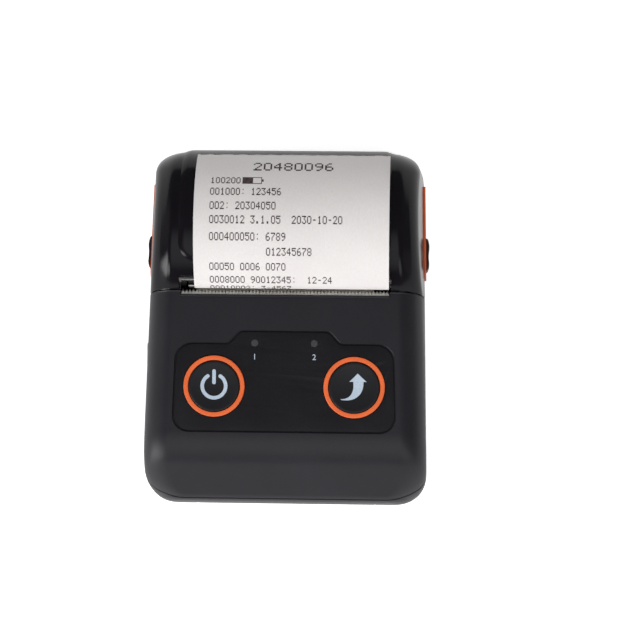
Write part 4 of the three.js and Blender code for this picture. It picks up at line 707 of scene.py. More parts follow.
KEY_UP, KEY_X, KEY_HOLE_R = 13.1, 20.6, 7.86
LIGHT_UP, LIGHT_X, LIGHT_HOLE_R = 25.9, 8.75, 1.1
HINGE, KNUCKLE_R, KNUCKLE_HALF, PIN_BORE_R = (49.3, 26), 2.6, 26.6, 1.1
SEAM_UP = (SEAM_Y - DECK_FRONT_Y) / math.cos(SLOPE)

upper_shell = carve(skin_solid("upper_shell", 0.0), [
    skin_solid("hollow", WALL), brick("below", z=(-FAR, PARTING + HALF_GAP)),
    prism("lid_space", lid_outline(0.3), -FAR, FAR),
    brick("hinge_space", y=(46.1, FAR), z=(22.8, FAR))])
inlay_seats = []
for side in (-1, 1):
    seat = prism("seat", inlay_outline(0.1), 5 * side, OUTSIDE * side)
    inlay_seats += [carve(seat, [skin_solid("seat_floor", 1.0)]), lever_window(side)]
carve(upper_shell, inlay_seats)
middle_knuckle = carve(rod("knuckle", KNUCKLE_R, -KNUCKLE_HALF, KNUCKLE_HALF, HINGE),
                       [skin_solid("around", 0.0)], "INTERSECT")
carve(upper_shell, [cad_inside("upper_case", INNER_WALL), middle_knuckle], "UNION")
panel_well = [(0.34, -0.905), (0.34, -0.2), (0.38, -0.09), (0.46, -0.02), (0.6, 0.1)]
upper_cutters = [stack("well", [(panel_outline(grow), over) for grow, over in panel_well], on_deck)]
for side in (-1, 1):
    upper_cutters += [
        rod("key_hole", KEY_HOLE_R, -3.6, 2, (side * KEY_X, KEY_UP), on_deck, 96),
        rod("light_hole", LIGHT_HOLE_R, -3.6, 2, (side * LIGHT_X, LIGHT_UP), on_deck, 32)]
bar_seat = np.array([(-30.8, -1.75), (30.8, -1.75), (30.8, 4), (-30.8, 4)]) + (0, SEAM_UP)
bar_lip = rounded(np.array([(-2.5, -1, 0.1), (-1.78, -1, 0.05), (-1.78, 0.33, 0.05),
                            (-1.15, 0.33, 0.08), (-1.15, 0.56, 0.11), (-1.8, 0.5, 0.3)])
                  + (SEAM_UP, 0, 0), 6)
socket_hole = rounded_box((17.85, 26.15), (-11.25, -8.1), 1.2, 8)
upper_cutters += [
    prism("bar_seat", bar_seat, -0.505, 4, on_deck),
    prism("socket_hole", socket_hole, -OUTSIDE, -39.4, across_deck),
    groove("seam_round", lid_seam_path(), False), groove("parting_round", parting_path(), True),
    rod("bore", PIN_BORE_R, -OUTSIDE, OUTSIDE, HINGE, count=40)]
carve(upper_shell, upper_cutters)
carve(upper_shell, [prism("bar_lip", bar_lip, -30.7, 30.7, across_deck)], "UNION")
finished(upper_shell, "base", case_black, "case_plastic", "upper_case", insets=(0.0,))
lean_in(upper_shell)


# Keypad: a printed film panel with a fine sparkle, sunk into the deck, two orange rings pressed
# into it and two dished keys inside them, with a flange below that holds them in.

panel_paint = Paint("panel_film", Specular_IOR_Level=0.2)
panel_fine = panel_paint.noise(7000, 2.0, 0.7)
panel_slow = panel_paint.noise(90, 3.0)
panel_film = panel_paint.finish((panel_fine + panel_slow * 0.2 - 0.1).within(0.35, 0.85),
                                (0.0035, 0.0035, 0.005), (0.017, 0.0165, 0.021),
                                panel_fine * 0.3 + 0.34, panel_fine, 7e-6)
panel_levels = [(0.0, -0.9), (0.0, -0.36), (-0.03, -0.28), (-0.09, -0.22), (-0.18, -0.2)]
keypad = stack("keypad", [(panel_outline(grow), height) for grow, height in panel_levels], on_deck)
panel_holes = []
for side in (-1, 1):
    panel_holes += [
        turned("ring_hole", [(0, -3), (9.1, -3), (9.1, -0.3), (9.22, -0.2), (9.5, 0.2), (0, 0.2)],
               (side * KEY_X, KEY_UP), on_deck),
        rod("light_hole", LIGHT_HOLE_R, -3, 1, (side * LIGHT_X, LIGHT_UP), on_deck, 32)]
carve(keypad, panel_holes)
finished(keypad, "base", panel_film, "panel_film", "keypad_panel")


def satin(name, tone, roughness):
    """Smooth moulded plastic, nearly even in tone, with faint flow lines and rubbed gloss."""
    paint = Paint(name, Specular_IOR_Level=0.5)
    fine, slow = paint.noise(2600, 2.0), paint.noise(120, 4.0, 0.6)
    darker, lighter = [t * 0.92 for t in tone], [t * 1.06 for t in tone]
    return paint.finish(slow.within(0.3, 0.7), darker, lighter, slow * 0.14 + (roughness - 0.07),
                        fine, 3e-6)


orange = satin("orange_satin", (0.74, 0.13, 0.03), 0.42)
key_black = moulded("key_black", (0.0085, 0.0085, 0.0105), 0.42, 6400, 3e-6, 0.25)
DISH_R, DISH_LOW, DISH_DEEP = 7.15, 0.05, 0.45
ring_section = np.vstack([[(7.65, -0.9), (9.0, -0.9)], arc(8.8, 0.12, 0.2, 0, 90, 6),
                          arc(7.85, 0.12, 0.2, 90, 180, 6)])
dish = np.linspace(DISH_R, 0, 14)
cap = np.vstack([[(0, -3.4), (2, -3.4), (2, -3.0), (8.5, -3.0), (8.5, -2.2), (7.5, -2.2)],
                 (arc(0, 0, 1, 0, 90, 6) * (0.35, 0.42) + (DISH_R, 0.08))[:-1],
                 np.stack([dish, DISH_LOW + DISH_DEEP * (dish / DISH_R) ** 2], -1)])
for side, name in ((-1, "power"), (1, "feed")):
    spot = (side * KEY_X, KEY_UP)
    ring = turned(name + "_ring", ring_section, spot, on_deck, 128, True)
    finished(ring, "base", orange, "orange_plastic", name + "_key_ring")
    key = turned(name + "_cap", cap, spot, on_deck, 128)
    finished(key, name + "_button", key_black, "key_plastic", name + "_key")


# Key symbols: screen-printed in a pale bluish ink on the keys' dished tops, a few hundredths of
# a millimetre thick. One is the usual power sign, the other a curved arrow for paper feed. The
# panel has the plain numbers 1 and 2 below the windows.

def printed(name, outlines, side, body):
    """Thin plates over a key's dish: each outline is filled between rows from its left edge to
    its right one, so that it can bend with the dish (height grows with the radius squared)."""
    made = []
    for left, right in outlines:
        share = np.linspace(0, 1, 5)[None, :, None]
        sheet = left[:, None] * (1 - share) + right[:, None] * share
        drop = DISH_LOW + DISH_DEEP * (np.hypot(sheet[..., 0], sheet[..., 1]) / DISH_R) ** 2
        low, high = (np.dstack([sheet + (side * KEY_X, KEY_UP), drop + over])
                     for over in (-0.02, 0.03))
        made.append(solid(name, on_deck(np.concatenate([low, high[:, ::-1]], 1))))
    finished(carve(made[0], made[1:], "UNION"), body, ink.material, "key_plastic")


ink = Paint("symbol_ink", Roughness=0.55, Specular_IOR_Level=0.4)
ink_wear = ink.noise(2600, 3.0, 0.6)
ink.feed(Base_Color=ink.mix(ink_wear.within(0.3, 0.6), (0.38, 0.46, 0.56), (0.46, 0.54, 0.64)))


def blob(x, y0, y1, radius, count=12):
    """Edges of an upright stroke with round ends, from y0 to y1."""
    turn = np.radians(np.linspace(-89, 89, count))
    rise = radius * np.sin(turn) + np.where(turn < 0, y0, y1)
    reach = radius * np.cos(turn)
    return np.stack([x - reach, rise], -1), np.stack([x + reach, rise], -1)


def round_end(angle, middle, radius, sign, count=7):
    """Edges of the half-disc that ends an arc band at that angle."""
    turn = np.radians(np.linspace(0.5, 89, count))
    out = np.array([math.cos(math.radians(angle)), math.sin(math.radians(angle))])
    on = sign * np.array([-out[1], out[0]])
    mid = middle * out + on * (radius * np.sin(turn))[:, None]
    reach = (radius * np.cos(turn))[:, None] * out
    return mid - reach, mid + reach


SYMBOL_R, STROKE = 3.45, 0.53
band = [arc(0, 0, SYMBOL_R + edge, 122, 418, 60) for edge in (-STROKE, STROKE)]
printed("power_sign", [band, round_end(122, SYMBOL_R, STROKE, -1),
                       round_end(418, SYMBOL_R, STROKE, 1),
                       blob(0, 1.05, 4.4, STROKE)], -1, "power_button")


def bent(points, count=40):
    """A cubic curve through four control points."""
    t, (a, b, c, d) = np.linspace(0, 1, count)[:, None], np.array(points, float)
    return a * (1 - t) ** 3 + 3 * b * t * (1 - t) ** 2 + 3 * c * t ** 2 * (1 - t) + d * t ** 3


head, tip = np.linspace(0, 0.985, 8)[:, None], np.array([1.0, 4.1])
printed("feed_sign", [
    (bent([(-3.9, -3.42), (-0.9, -3.5), (0.1, -1.2), (-0.28, 1.75)]),
     bent([(-3.85, -3.62), (0.0, -4.4), (2.95, -2.3), (2.72, 1.75)])),
    [np.array(foot) * (1 - head) + tip * head for foot in ((-1.4, 1.7), (3.65, 1.68))]],
        1, "feed_button")


for figure, side in (("1", -1), ("2", 1)):
    name = "numeral_" + figure
    curve = bpy.data.curves.new(name, "FONT")
    curve.body, curve.align_x, curve.size, curve.extrude = figure, "CENTER", 2.4, 0.015
    mesh = bpy.data.meshes.new_from_object(bpy.data.objects.new(name, curve))
    points = read(mesh.vertices, "co") + (side * LIGHT_X, LIGHT_UP - 4.85, -0.195)
    mesh.vertices.foreach_set("co", (on_deck(points) * 0.001).ravel())
    finished(piece_of(name, mesh), "base", ink.material, "panel_film")


# Indicator windows: two acrylic light pipes that stand in the panel's tab, smoked a little grey,
# their tops just under the film's surface.

def grainy(name, dark, light, noise, roughness, depth=0.0, stretch=(1, 1, 1), **constants):
    """A finish from one grain: the tone runs from dark to light with it, the roughness is a share
    of it over a least value, and it stands up as relief of that depth in metres."""
    paint = Paint(name, **constants)
    grain, (share, least) = paint.noise(*noise, at=paint.place(stretch)), roughness
    return paint.finish(grain.within(0.3, 0.7), dark, light, grain * share + least, grain, depth)


acrylic = grainy("window_acrylic", (0.036, 0.035, 0.037), (0.05, 0.048, 0.05), (1500, 2.0),
                 (0.15, 0.22), Specular_IOR_Level=0.3, Coat_Weight=0.1, Coat_Roughness=0.12)
pipe_profile = [(0, -5.6), (1.05, -5.6), (1.05, -0.24), (1.0, -0.19), (0, -0.16)]
for side, name in ((-1, "left"), (1, "right")):
    pipe = turned("window_" + name, pipe_profile, (side * LIGHT_X, LIGHT_UP), on_deck, 40)
    finished(pipe, "base", acrylic, "light_pipe", "light_pipe_" + name)


# Lid: one polished black moulding over the roll, with a pod that stands half a millimetre proud
# where the paper passes, two arms round the hinge pin and a notch for the paper at its front.

POD_HALF, POD_FRONT, POD_CORNER, POD_RISE, LID_REAR_Z = 30.7, 15.36, 5.0, 0.5, 29.1


def pod_rise(x, y, z):
    """How far the pod stands out: from 0 outside its outline to its full rise inside it, smoothly
    over 2.2 mm. The outline is a half-endless box with two rounded corners; the distance to it is
    that of a box with round corners."""
    out_x = np.abs(x) - (POD_HALF - POD_CORNER)
    out_y = (POD_FRONT + POD_CORNER) - y
    distance = (np.hypot(np.maximum(out_x, 0), np.maximum(out_y, 0))
                + np.minimum(np.maximum(out_x, out_y), 0) - POD_CORNER)
    share = np.clip((0.25 - distance) / 2.2, 0, 1)
    return POD_RISE * share * (2 - share) * np.clip((z - LID_REAR_Z) / 0.4, 0, 1)


# The lid's points lie closest where the pod's ramp runs, along its sides and along its front.
dense = np.concatenate([np.linspace(0.772, 0.83, 7), np.linspace(0.84, 0.975, 46)])
lid_top = np.concatenate([dense[::-1], np.linspace(0.74, -0.74, 46), -dense])
lid_y = np.concatenate([np.linspace(14.2, 16.6, 26), np.linspace(16.8, 21.5, 26)])
lid_rings = ring_points(skin_stations(0.0, lid_y), 0.0, *ring_plan(14, lid_top))
lid_flat = lid_rings.reshape(-1, 3)
lid_flat += skin_frame(lid_flat)[1] * pod_rise(*lid_flat.T)[:, None]
ARM_FROM, ARM_TO = 26.9, 37.25
lid = carve(solid("lid", lid_rings), [
    skin_solid("lid_hollow", 2.0, 14), brick("below_pin", y=(46.4, FAR), z=(-FAR, HINGE[1])),
    brick("over_centre", (-ARM_FROM, ARM_FROM), (46.1, FAR), (-FAR, LID_REAR_Z)),
    brick("notch", (-31.2, 31.2), (-FAR, 11.4))])
carve(lid, [prism("lid_reach", lid_outline(0.0), -FAR, FAR)], "INTERSECT")
lid_arms = [carve(rod("arm", KNUCKLE_R, *ends, HINGE), [skin_solid("around", 0.0)], "INTERSECT")
            for ends in ((-ARM_TO, -ARM_FROM), (ARM_FROM, ARM_TO))]
carve(lid, lid_arms, "UNION")
carve(lid, [groove("seam_round", lid_seam_path(), False),
            rod("bore", PIN_BORE_R, -OUTSIDE, OUTSIDE, HINGE, count=40)])

gloss_black = Paint("lid_gloss", Specular_IOR_Level=0.15)
gloss_slow, gloss_fine = gloss_black.noise(42, 4.0, 0.6), gloss_black.noise(900, 3.0, 0.6)
lid_gloss = gloss_black.finish(
    gloss_slow.within(0.3, 0.7), (0.0045, 0.0038, 0.0055), (0.0065, 0.0055, 0.0075),
    gloss_slow.within(0.35, 0.75) * 0.1 + gloss_fine * 0.07 + 0.09,
    gloss_slow * 0.9 + gloss_fine * 0.1, 1.2e-5)
finished(lid, "lid", lid_gloss, "lid_gloss", "lid_shell", insets=(0.0, -POD_RISE))
lean_in(lid)


# Side inlays: two orange mouldings snapped into the walls under the lid, standing half a
# millimetre proud, each with a window for the release lever.

INLAY_PROUD = 0.5
for side, name in ((-1, "left"), (1, "right")):
    inlay = carve(prism("inlay_" + name, inlay_outline(0.0), 20 * side, OUTSIDE * side),
                  [skin_solid("proud", -INLAY_PROUD, 14)], "INTERSECT")
    carve(inlay, [skin_solid("inlay_back", 0.9), lever_window(side)])
    finished(inlay, "base", orange, "orange_plastic", "side_inlay_" + name, insets=(-INLAY_PROUD,))


# Release levers: black mouldings that turn on upright pins behind the windows. A D-shaped finger
# stands out of each window, dished for a fingertip and rounded along its edges.

lever_black = moulded("lever_black", (0.012, 0.012, 0.014), 0.4, depth=3e-6, speck=0.2)
FINGER_Y, FINGER_HALF, FRONT_REACH, EDGE_ROUND, DISH_BALL_R = 21.8, 5.2, 4.7, 0.45, 14
WALL_X = FRONT_HALF + (REAR_HALF - FRONT_HALF) * (FINGER_Y + HALF_DEPTH) / (2 * HALF_DEPTH)
EDGE_X = WALL_X + 0.64
bulge = bent([(EDGE_X, 16.6), (EDGE_X + 1.3, 16.6), (EDGE_X + 1.3, 27.0), (EDGE_X, 27.0)], 30)


def finger_plan(draw_in):
    """The bulging tab from above, its edge drawn in; its front half is a little shorter."""
    share = (bulge[:, 1] - FINGER_Y) / FINGER_HALF
    reach = np.where(share < 0, FRONT_REACH, FINGER_HALF) - draw_in
    edge = np.stack([bulge[:, 0] - draw_in, FINGER_Y + share * reach], -1)
    ends = [(EDGE_X - 4, FINGER_Y + way + np.sign(-way) * draw_in)
            for way in (-FRONT_REACH, FINGER_HALF)]
    return np.vstack([ends[:1], edge, ends[1:]])


rise = np.radians(np.linspace(0, 90, 7))
inward, lift = EDGE_ROUND * (1 - np.sin(rise)), EDGE_ROUND * (1 - np.cos(rise))
finger_levels = [*zip(inward, LEVER_Z[0] + lift), *zip(inward[::-1], LEVER_Z[1] - lift[::-1])]
for side, name in ((-1, "left"), (1, "right")):
    finger = stack("lever_" + name, [(finger_plan(draw_in) * (side, 1), height)
                                     for draw_in, height in finger_levels])
    ball = arc(0, side * (EDGE_X + 0.425 + DISH_BALL_R), DISH_BALL_R, -90, 90, 90)
    carve(finger, [turned("dish", ball, (FINGER_Y, 19.7), along_x, 160)])
    # The arm runs back inside the wall to the boss that the lever turns on.
    pin_spot = (side * (EDGE_X - 4.2), 28.8)
    arm = brick("arm", sorted((side * (EDGE_X - 4.45), side * (EDGE_X - 3.25))),
                (17.1, pin_spot[1]), LEVER_Z)
    carve(finger, [arm, rod("boss", 1.5, *LEVER_Z, pin_spot, upright, 48)], "UNION")
    carve(finger, [rod("pin_hole", 0.8, 0, 40, pin_spot, upright, 32)])
    finished(finger, name + "_lever", lever_black, "case_plastic", "release_lever_" + name,
             angle=40)


# Lower case fittings: a battery cover that slides out towards the front on two rails, four black
# rubber feet in their corners and four cross-head screws deep in their wells.

COVER_HALF, COVER_TOP, COVER_REAR = 26.5, 7.0, -7.5
cover = carve(skin_solid("cover", 0.0), [
    skin_solid("hollow", 1.8), brick("left", (-FAR, -COVER_HALF), z=(-1, FAR)),
    brick("right", (COVER_HALF, FAR), z=(-1, FAR)), brick("above", z=(COVER_TOP, FAR)),
    brick("behind", y=(COVER_REAR, FAR), z=(-1, FAR))])
carve(cover, [brick("grip", (0.02 * k - 9, 9 - 0.02 * k), (2.2 * k - 19.2, 2.2 * k - 18.3),
                    (0, 1.15)) for k in range(4)])
carve(cover, [cad_inside("battery_cover", WALL)], "UNION")
finished(cover, "cover", case_black, "case_plastic", "battery_cover", insets=(0.0,))


def ground(name, dark, light, fine_share, slow_share, least):
    """Steel ground along X: fine scratches drawn out that way over slow stains, which both make
    it rougher than the least value."""
    paint = Paint(name, Metallic=1.0)
    fine = paint.noise(1500, 3.0, 0.6, at=paint.place((1, 12, 12)))
    slow = paint.noise(160, 3.0)
    return paint.finish(slow.within(0.3, 0.7), dark, light,
                        fine * fine_share + slow * slow_share + least, fine, 3e-6)


foot_rubber = grainy("foot_rubber", (0.011, 0.011, 0.011), (0.023, 0.022, 0.022),
                     (3400, 3.0, 0.65), (0.2, 0.7), 2e-5, Specular_IOR_Level=0.3)
steel_bright = ground("steel_bright", (0.5, 0.5, 0.51), (0.66, 0.66, 0.67), 0.2, 0.12, 0.14)
foot_profile = np.vstack([[(0, 0.95), (2.8, 0.95)], arc(2.35, 0.45, 0.45, 0, -90, 6), [(0, 0)]])
for k, place in enumerate([(-31.5, -40), (31.5, -40), (-31.5, 38.4), (31.5, 38.4)], 1):
    foot = turned(f"rubber_foot_{k}", foot_profile, place)
    finished(foot, "base", foot_rubber, "foot_rubber", f"foot_{k}")
screw_profile = [(0, 1.8), (1.35, 1.8), (1.65, 1.95), (1.8, 2.3), (1.8, 3.1), (0.85, 3.1),
                 (0.85, 15.6), (0.3, 16.1), (0, 16.1)]
for k, (x, y) in enumerate([(-32.5, -29), (32.5, -29), (-33.4, 31.6), (33.4, 31.6)], 1):
    cross = [brick("slot", (x - a, x + a), (y - b, y + b), (0, 2.55))
             for a, b in ((0.95, 0.17), (0.17, 0.95))]
    screw = carve(turned(f"screw_{k}", screw_profile, (x, y), count=40), cross)
    finished(screw, "base", steel_bright, "steel", f"case_screw_{k}")


# Charging socket: a folded steel shell with rounded ends and a black tongue, on the board's left
# edge, level with its hole in the case.

socket_outline = rounded_box((18.25, 25.75), (-11.15, -8.35), 1.15, 10)
mouth_outline = rounded_box((18.5, 25.5), (-10.9, -8.6), 0.9, 10)
tongue_outline = rounded_box((19.95, 24.6), (-10.05, -9.4), 0.3, 4)
socket_shell = carve(prism("socket_shell", socket_outline, -41.3, -35.2, across_deck),
                     [prism("mouth", mouth_outline, -OUTSIDE, -36, across_deck)])
finished(socket_shell, "base", steel_bright, "steel", "usb_socket")
tongue = prism("socket_tongue", tongue_outline, -40.6, -35.8, across_deck)
finished(tongue, "base", lever_black, "steel")


# Tear bar: a strip of spring steel, ground to a saw edge with bevelled teeth, in a seat at the
# deck's rear edge.

TEETH, BAR_HALF, TIP, ROOT, BAR_FRONT = 61, 30.5, 0.25, -0.45, -1.6
tooth_x = np.linspace(-BAR_HALF, BAR_HALF, 2 * TEETH + 1)
tooth_y = SEAM_UP + np.where(np.arange(2 * TEETH + 1) % 2, TIP, ROOT)


def saw_outline(back, ends=0.0):
    """The bar from above: a straight front edge and the teeth, drawn back by the bevel."""
    front = SEAM_UP + BAR_FRONT + ends
    return np.vstack([[(ends - BAR_HALF, front)], np.stack([tooth_x, tooth_y - back], -1),
                      [(BAR_HALF - ends, front)]])


saw_bar = stack("saw_bar", [(saw_outline(*bevel), over) for *bevel, over in (
    (0.0, -0.4), (0.0, -0.05), (0.42, 0.26), (0.48, 0.06, 0.3))], on_deck)
ground_steel = ground("ground_steel", (0.52, 0.5, 0.47), (0.66, 0.64, 0.6), 0.14, 0.1, 0.42)
finished(saw_bar, "base", ground_steel, "steel", "tear_bar", angle=20)


# Guide bar: a ground steel rod of rounded square section along the lid's front edge, that the
# paper slides over.

guide_bar = prism("guide_bar", rounded_box((10.85, 11.1), (38.0, 39.8), 0.33, 8), -30.9, 30.9)
finished(guide_bar, "lid", steel_bright, "steel", "lid_guide_bar")


# Receipt: one strip of thermal paper out of the slit, bent back over the lid and torn off along a
# saw edge. Thermal paper is smooth, slightly grey, with a very faint fibre.

PAPER_LEFT, PAPER_RIGHT, PAPER_THICK = -26.5, 30.5, 0.12
STRIP_R, BEND_R, SLIT_Y, SLIT_Z, STRIP_END, TORN_POINTS = 25.05, 4.5, 8.5, 36.7, 34.5, 115
bend_y = SLIT_Y + BEND_R
bend_z = HUMP_RADIUS + math.sqrt((STRIP_R - BEND_R) ** 2 - (HUMP_Y - bend_y) ** 2)
meet = math.atan2(bend_z - HUMP_RADIUS, bend_y - HUMP_Y)
RISE = bend_z - SLIT_Z
BEND_RUN = BEND_R * (math.pi - meet)
STRIP_RUN = RISE + BEND_RUN + STRIP_R * (meet - math.radians(STRIP_END))


def strip_points(x, run, over):
    """Points of the strip at x and at a run along it from the slit: up to the tear bar, then the
    small bend, then the circle about the roll, each moved outwards by over."""
    x, run, over = np.broadcast_arrays(x, run, over)
    turn_bend = math.pi - np.clip(run - RISE, 0, BEND_RUN) / BEND_R
    turn_hump = meet - np.maximum(run - RISE - BEND_RUN, 0) / STRIP_R
    on_rise, on_bend = run < RISE, run < RISE + BEND_RUN
    slant = 0.95 * np.clip((1.5 - run) / 1.5, 0, 1) ** 2
    bend, hump = BEND_R + over, STRIP_R + over
    y = np.where(on_bend, bend_y + bend * np.cos(turn_bend) + slant,
                 HUMP_Y + hump * np.cos(turn_hump))
    z = np.where(on_bend, bend_z + bend * np.sin(turn_bend), HUMP_RADIUS + hump * np.sin(turn_hump))
    return np.stack([x, y, np.where(on_rise, SLIT_Z + run, z)], -1)


torn_x = np.linspace(PAPER_LEFT, PAPER_RIGHT, TORN_POINTS)
torn = (np.where(np.arange(TORN_POINTS) % 2, 0.0, -0.55)
        + 0.12 * np.sin(torn_x * 0.9) * np.sin(torn_x * 2.3))
rows = np.concatenate([np.linspace(0, RISE, 5)[:-1], np.linspace(RISE, RISE + BEND_RUN, 14)[:-1],
                       np.linspace(RISE + BEND_RUN, STRIP_RUN - 1.2, 70), [STRIP_RUN - 0.8]])
runs = np.vstack([np.broadcast_to(rows[:, None], (len(rows), TORN_POINTS)),
                  STRIP_RUN + torn - 0.05])
top_side = strip_points(torn_x, runs, PAPER_THICK / 2)
low_side = strip_points(torn_x, runs, -PAPER_THICK / 2)
receipt = solid("receipt", np.concatenate([top_side, low_side[:, ::-1]], 1))

paper_paint = Paint("thermal_paper", Specular_IOR_Level=0.25)
paper_fibre = paper_paint.noise(2600, 4.0, 0.65, at=paper_paint.place((1, 0.35, 1)))
paper_slow = paper_paint.noise(38, 2.0, 0.5)
paper = paper_paint.finish((paper_fibre * 0.5 + paper_slow * 0.5).within(0.3, 0.7),
                           (0.685, 0.655, 0.645), (0.755, 0.73, 0.72),
                           paper_fibre * 0.2 + 0.55, paper_fibre, 6e-6)
finished(receipt, "lid", paper, "receipt_paper", "paper_strip", angle=50)


# Print on the receipt: rows of plain figures as a thermal head makes them, each figure a pattern
# of dots five wide and seven high, with a charge gauge. The dots lie just over the paper's
# surface.

PATTERNS = {
    "0": (14, 17, 17, 17, 17, 17, 14), "1": (4, 12, 4, 4, 4, 4, 14), "2": (14, 17, 1, 2, 4, 8, 31),
    "3": (31, 2, 4, 2, 1, 17, 14), "4": (2, 6, 10, 18, 31, 2, 2), "5": (31, 16, 30, 1, 1, 17, 14),
    "6": (6, 8, 16, 30, 17, 17, 14), "7": (31, 1, 2, 4, 8, 8, 8), "8": (14, 17, 17, 14, 17, 17, 14),
    "9": (14, 17, 17, 15, 1, 2, 12), "-": (0, 0, 0, 14, 0, 0, 0), ":": (0, 4, 0, 0, 0, 4, 0),
    ".": (0, 0, 0, 0, 0, 12, 12), " ": (0,) * 7}


def dots_of(text, run, left=-21.9, tall=2.35, pitch=1.5):
    """Centres and half sizes of the dots of a row of figures, its middle at that run."""
    cells = []
    for place, figure in enumerate(text):
        row, column = np.nonzero(np.array(PATTERNS[figure])[:, None] >> np.arange(4, -1, -1) & 1)
        cells.append(np.stack([left + place * pitch + (column + 0.75) * pitch / 6.2,
                               run + (3 - row) * tall / 7], -1))
    cells = np.concatenate(cells)
    return np.hstack([cells, np.broadcast_to((pitch / 12.2, tall / 13.2), cells.shape)])


GAUGE_RUN = 36.57
ROWS_OF_PRINT = [
    ("20480096", 42.34, -9.7, 3.6, 3.0), ("100200", GAUGE_RUN, -21.9, 2.2),
    ("001000: 123456", 32.73), ("002: 20304050", 28.28),
    ("0030012 3.1.05  2030-10-20", 24.10), ("000400050: 6789", 19.15),
    ("012345678", 14.75, -5.3), ("00050 0006 0070", 10.13), ("0008000 90012345:  12-24", 5.77),
    ("00010002: 3-4567", 2.2)]
gauge = np.array([(-11.0, 0, 1.55, 1.2), (-6.6, 0, 0.25, 0.4), (-8.2, -1.12, 1.35, 0.11),
                  (-8.2, 1.12, 1.35, 0.11), (-6.95, 0, 0.11, 1.2)]) + (0, GAUGE_RUN, 0, 0)
dots = np.concatenate([dots_of(*row) for row in ROWS_OF_PRINT] + [gauge])
corner = np.array([(-1, -1), (1, -1), (1, 1), (-1, 1)])
flat = dots[:, None, :2] + corner * dots[:, None, 2:]
box = np.concatenate([strip_points(flat[..., 0], flat[..., 1], PAPER_THICK / 2 + over)
                      for over in (0.004, 0.03)], 1)
sides = np.array([(3, 2, 1, 0), (4, 5, 6, 7), (0, 1, 5, 4), (1, 2, 6, 5), (2, 3, 7, 6),
                  (3, 0, 4, 7)])
box_faces = (np.arange(len(dots))[:, None, None] * 8 + sides).reshape(-1, 4)
print_marks = piece_of("print_marks", mesh_of("print_marks", box.reshape(-1, 3), box_faces))
print_grey = grainy("print_grey", (0.045, 0.03, 0.032), (0.09, 0.07, 0.07), (900, 2.0), (0.0, 0.6),
                    Specular_IOR_Level=0.2)
finished(print_marks, "lid", print_grey, "receipt_paper", angle=20)


# Paper roll: 57 mm thermal paper wound on a card core, loose in the bin under the lid. Its ends
# show the turns as fine rings.

ROLL, ROLL_R, ROLL_HALF, EDGE = (28, 20.3), 16, 28.5, 0.3
roll_paint = Paint("roll_paper", Specular_IOR_Level=0.25)
roll_middle = roll_paint.place(move=(0, -ROLL[0] * 0.001, -ROLL[1] * 0.001))
roll_y, roll_z = (roll_paint.node("ShaderNodeSeparateXYZ", {}, {"Vector": roll_middle}, axis)
                  for axis in (1, 2))
roll_radius = (roll_y * roll_y + roll_z * roll_z) ** 0.5
roll_turns = (roll_radius * 9000).math("SINE") * 0.5 + 0.5
roll_fibre = roll_paint.noise(700, 3.0)
roll_paint.finish(roll_turns * 0.6 + roll_fibre * 0.4, (0.5, 0.47, 0.45), (0.75, 0.73, 0.71),
                  roll_fibre * 0.2 + 0.6, roll_turns, 2e-5)


def sleeve_profile(inner, outer, half, edge):
    """The section of a ring about its axis: (radius, x) rows, its outer edges chamfered."""
    return [(inner, -half), (outer - edge, -half), (outer, edge - half), (outer, half - edge),
            (outer - edge, half), (inner, half)]


roll = turned("roll", sleeve_profile(7.1, ROLL_R, ROLL_HALF, EDGE), ROLL, along_x, 128, True)
finished(roll, "roll", roll_paint.material, "receipt_paper", "paper_roll")
card = grainy("core_card", (0.24, 0.155, 0.085), (0.38, 0.26, 0.15), (800, 4.0, 0.65), (0.2, 0.72),
              4e-5, Specular_IOR_Level=0.2)
core = turned("core", [(6, -ROLL_HALF), (7, -ROLL_HALF), (7, ROLL_HALF), (6, ROLL_HALF)],
              ROLL, along_x, 128, True)
finished(core, "roll", card, "core_cardboard", "roll_core")


# Platen: a ground black rubber sleeve on a steel shaft, in two natural acetal bushes. The hinge
# pin is a steel rod of the same making.

PLATEN = (13.4, 34.0)
platen_rubber = grainy("platen_rubber", (0.012, 0.012, 0.013), (0.03, 0.029, 0.03),
                       (2200, 3.0, 0.6), (0.25, 0.5), 1e-5, (0.25, 1, 1), Specular_IOR_Level=0.35)
sleeve = turned("sleeve", sleeve_profile(1.6, 3.6, 28.7, 0.2), PLATEN, along_x, 96, True)
finished(sleeve, "platen", platen_rubber, "platen_rubber", "platen_roller")


def axle(name, radius, low, high, centre, chamfer):
    """A round steel rod along X with chamfered ends."""
    return turned(name, [(0, low), (radius - chamfer, low), (radius, low + chamfer),
                         (radius, high - chamfer), (radius - chamfer, high), (0, high)],
                  centre, along_x, 48)


shaft_ends = [corner[0] * 1000 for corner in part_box("platen_shaft")]
finished(axle("shaft", 1.5, *shaft_ends, PLATEN, 0.3), "platen", steel_bright, "steel",
         "platen_shaft")
finished(axle("pin", 1, -36.65, 36.65, HINGE, 0.2), "base", steel_bright, "steel", "hinge_pin")


# The mechanism inside keeps its CAD shapes: pressed, turned and moulded parts, each in the finish
# of its own process.

def coat(material, *names):
    """Gives CAD nodes a material in place of their own."""
    for name in names:
        for material_slot in nodes[name].material_slots:
            material_slot.material = material


def metal(name, dark, light, rough, scale, stretch):
    """Bare metal: a grain drawn out along the rolling or turning direction, and stains."""
    paint = Paint(name, Metallic=1.0)
    grain, stain = paint.noise(scale, 4.0, 0.6, at=paint.place(stretch)), paint.noise(120, 3.0, 0.6)
    return paint.finish(grain * 0.4 + stain * 0.6, dark, light,
                        grain * 0.18 + stain * 0.16 + (rough - 0.17), grain, 4e-6)


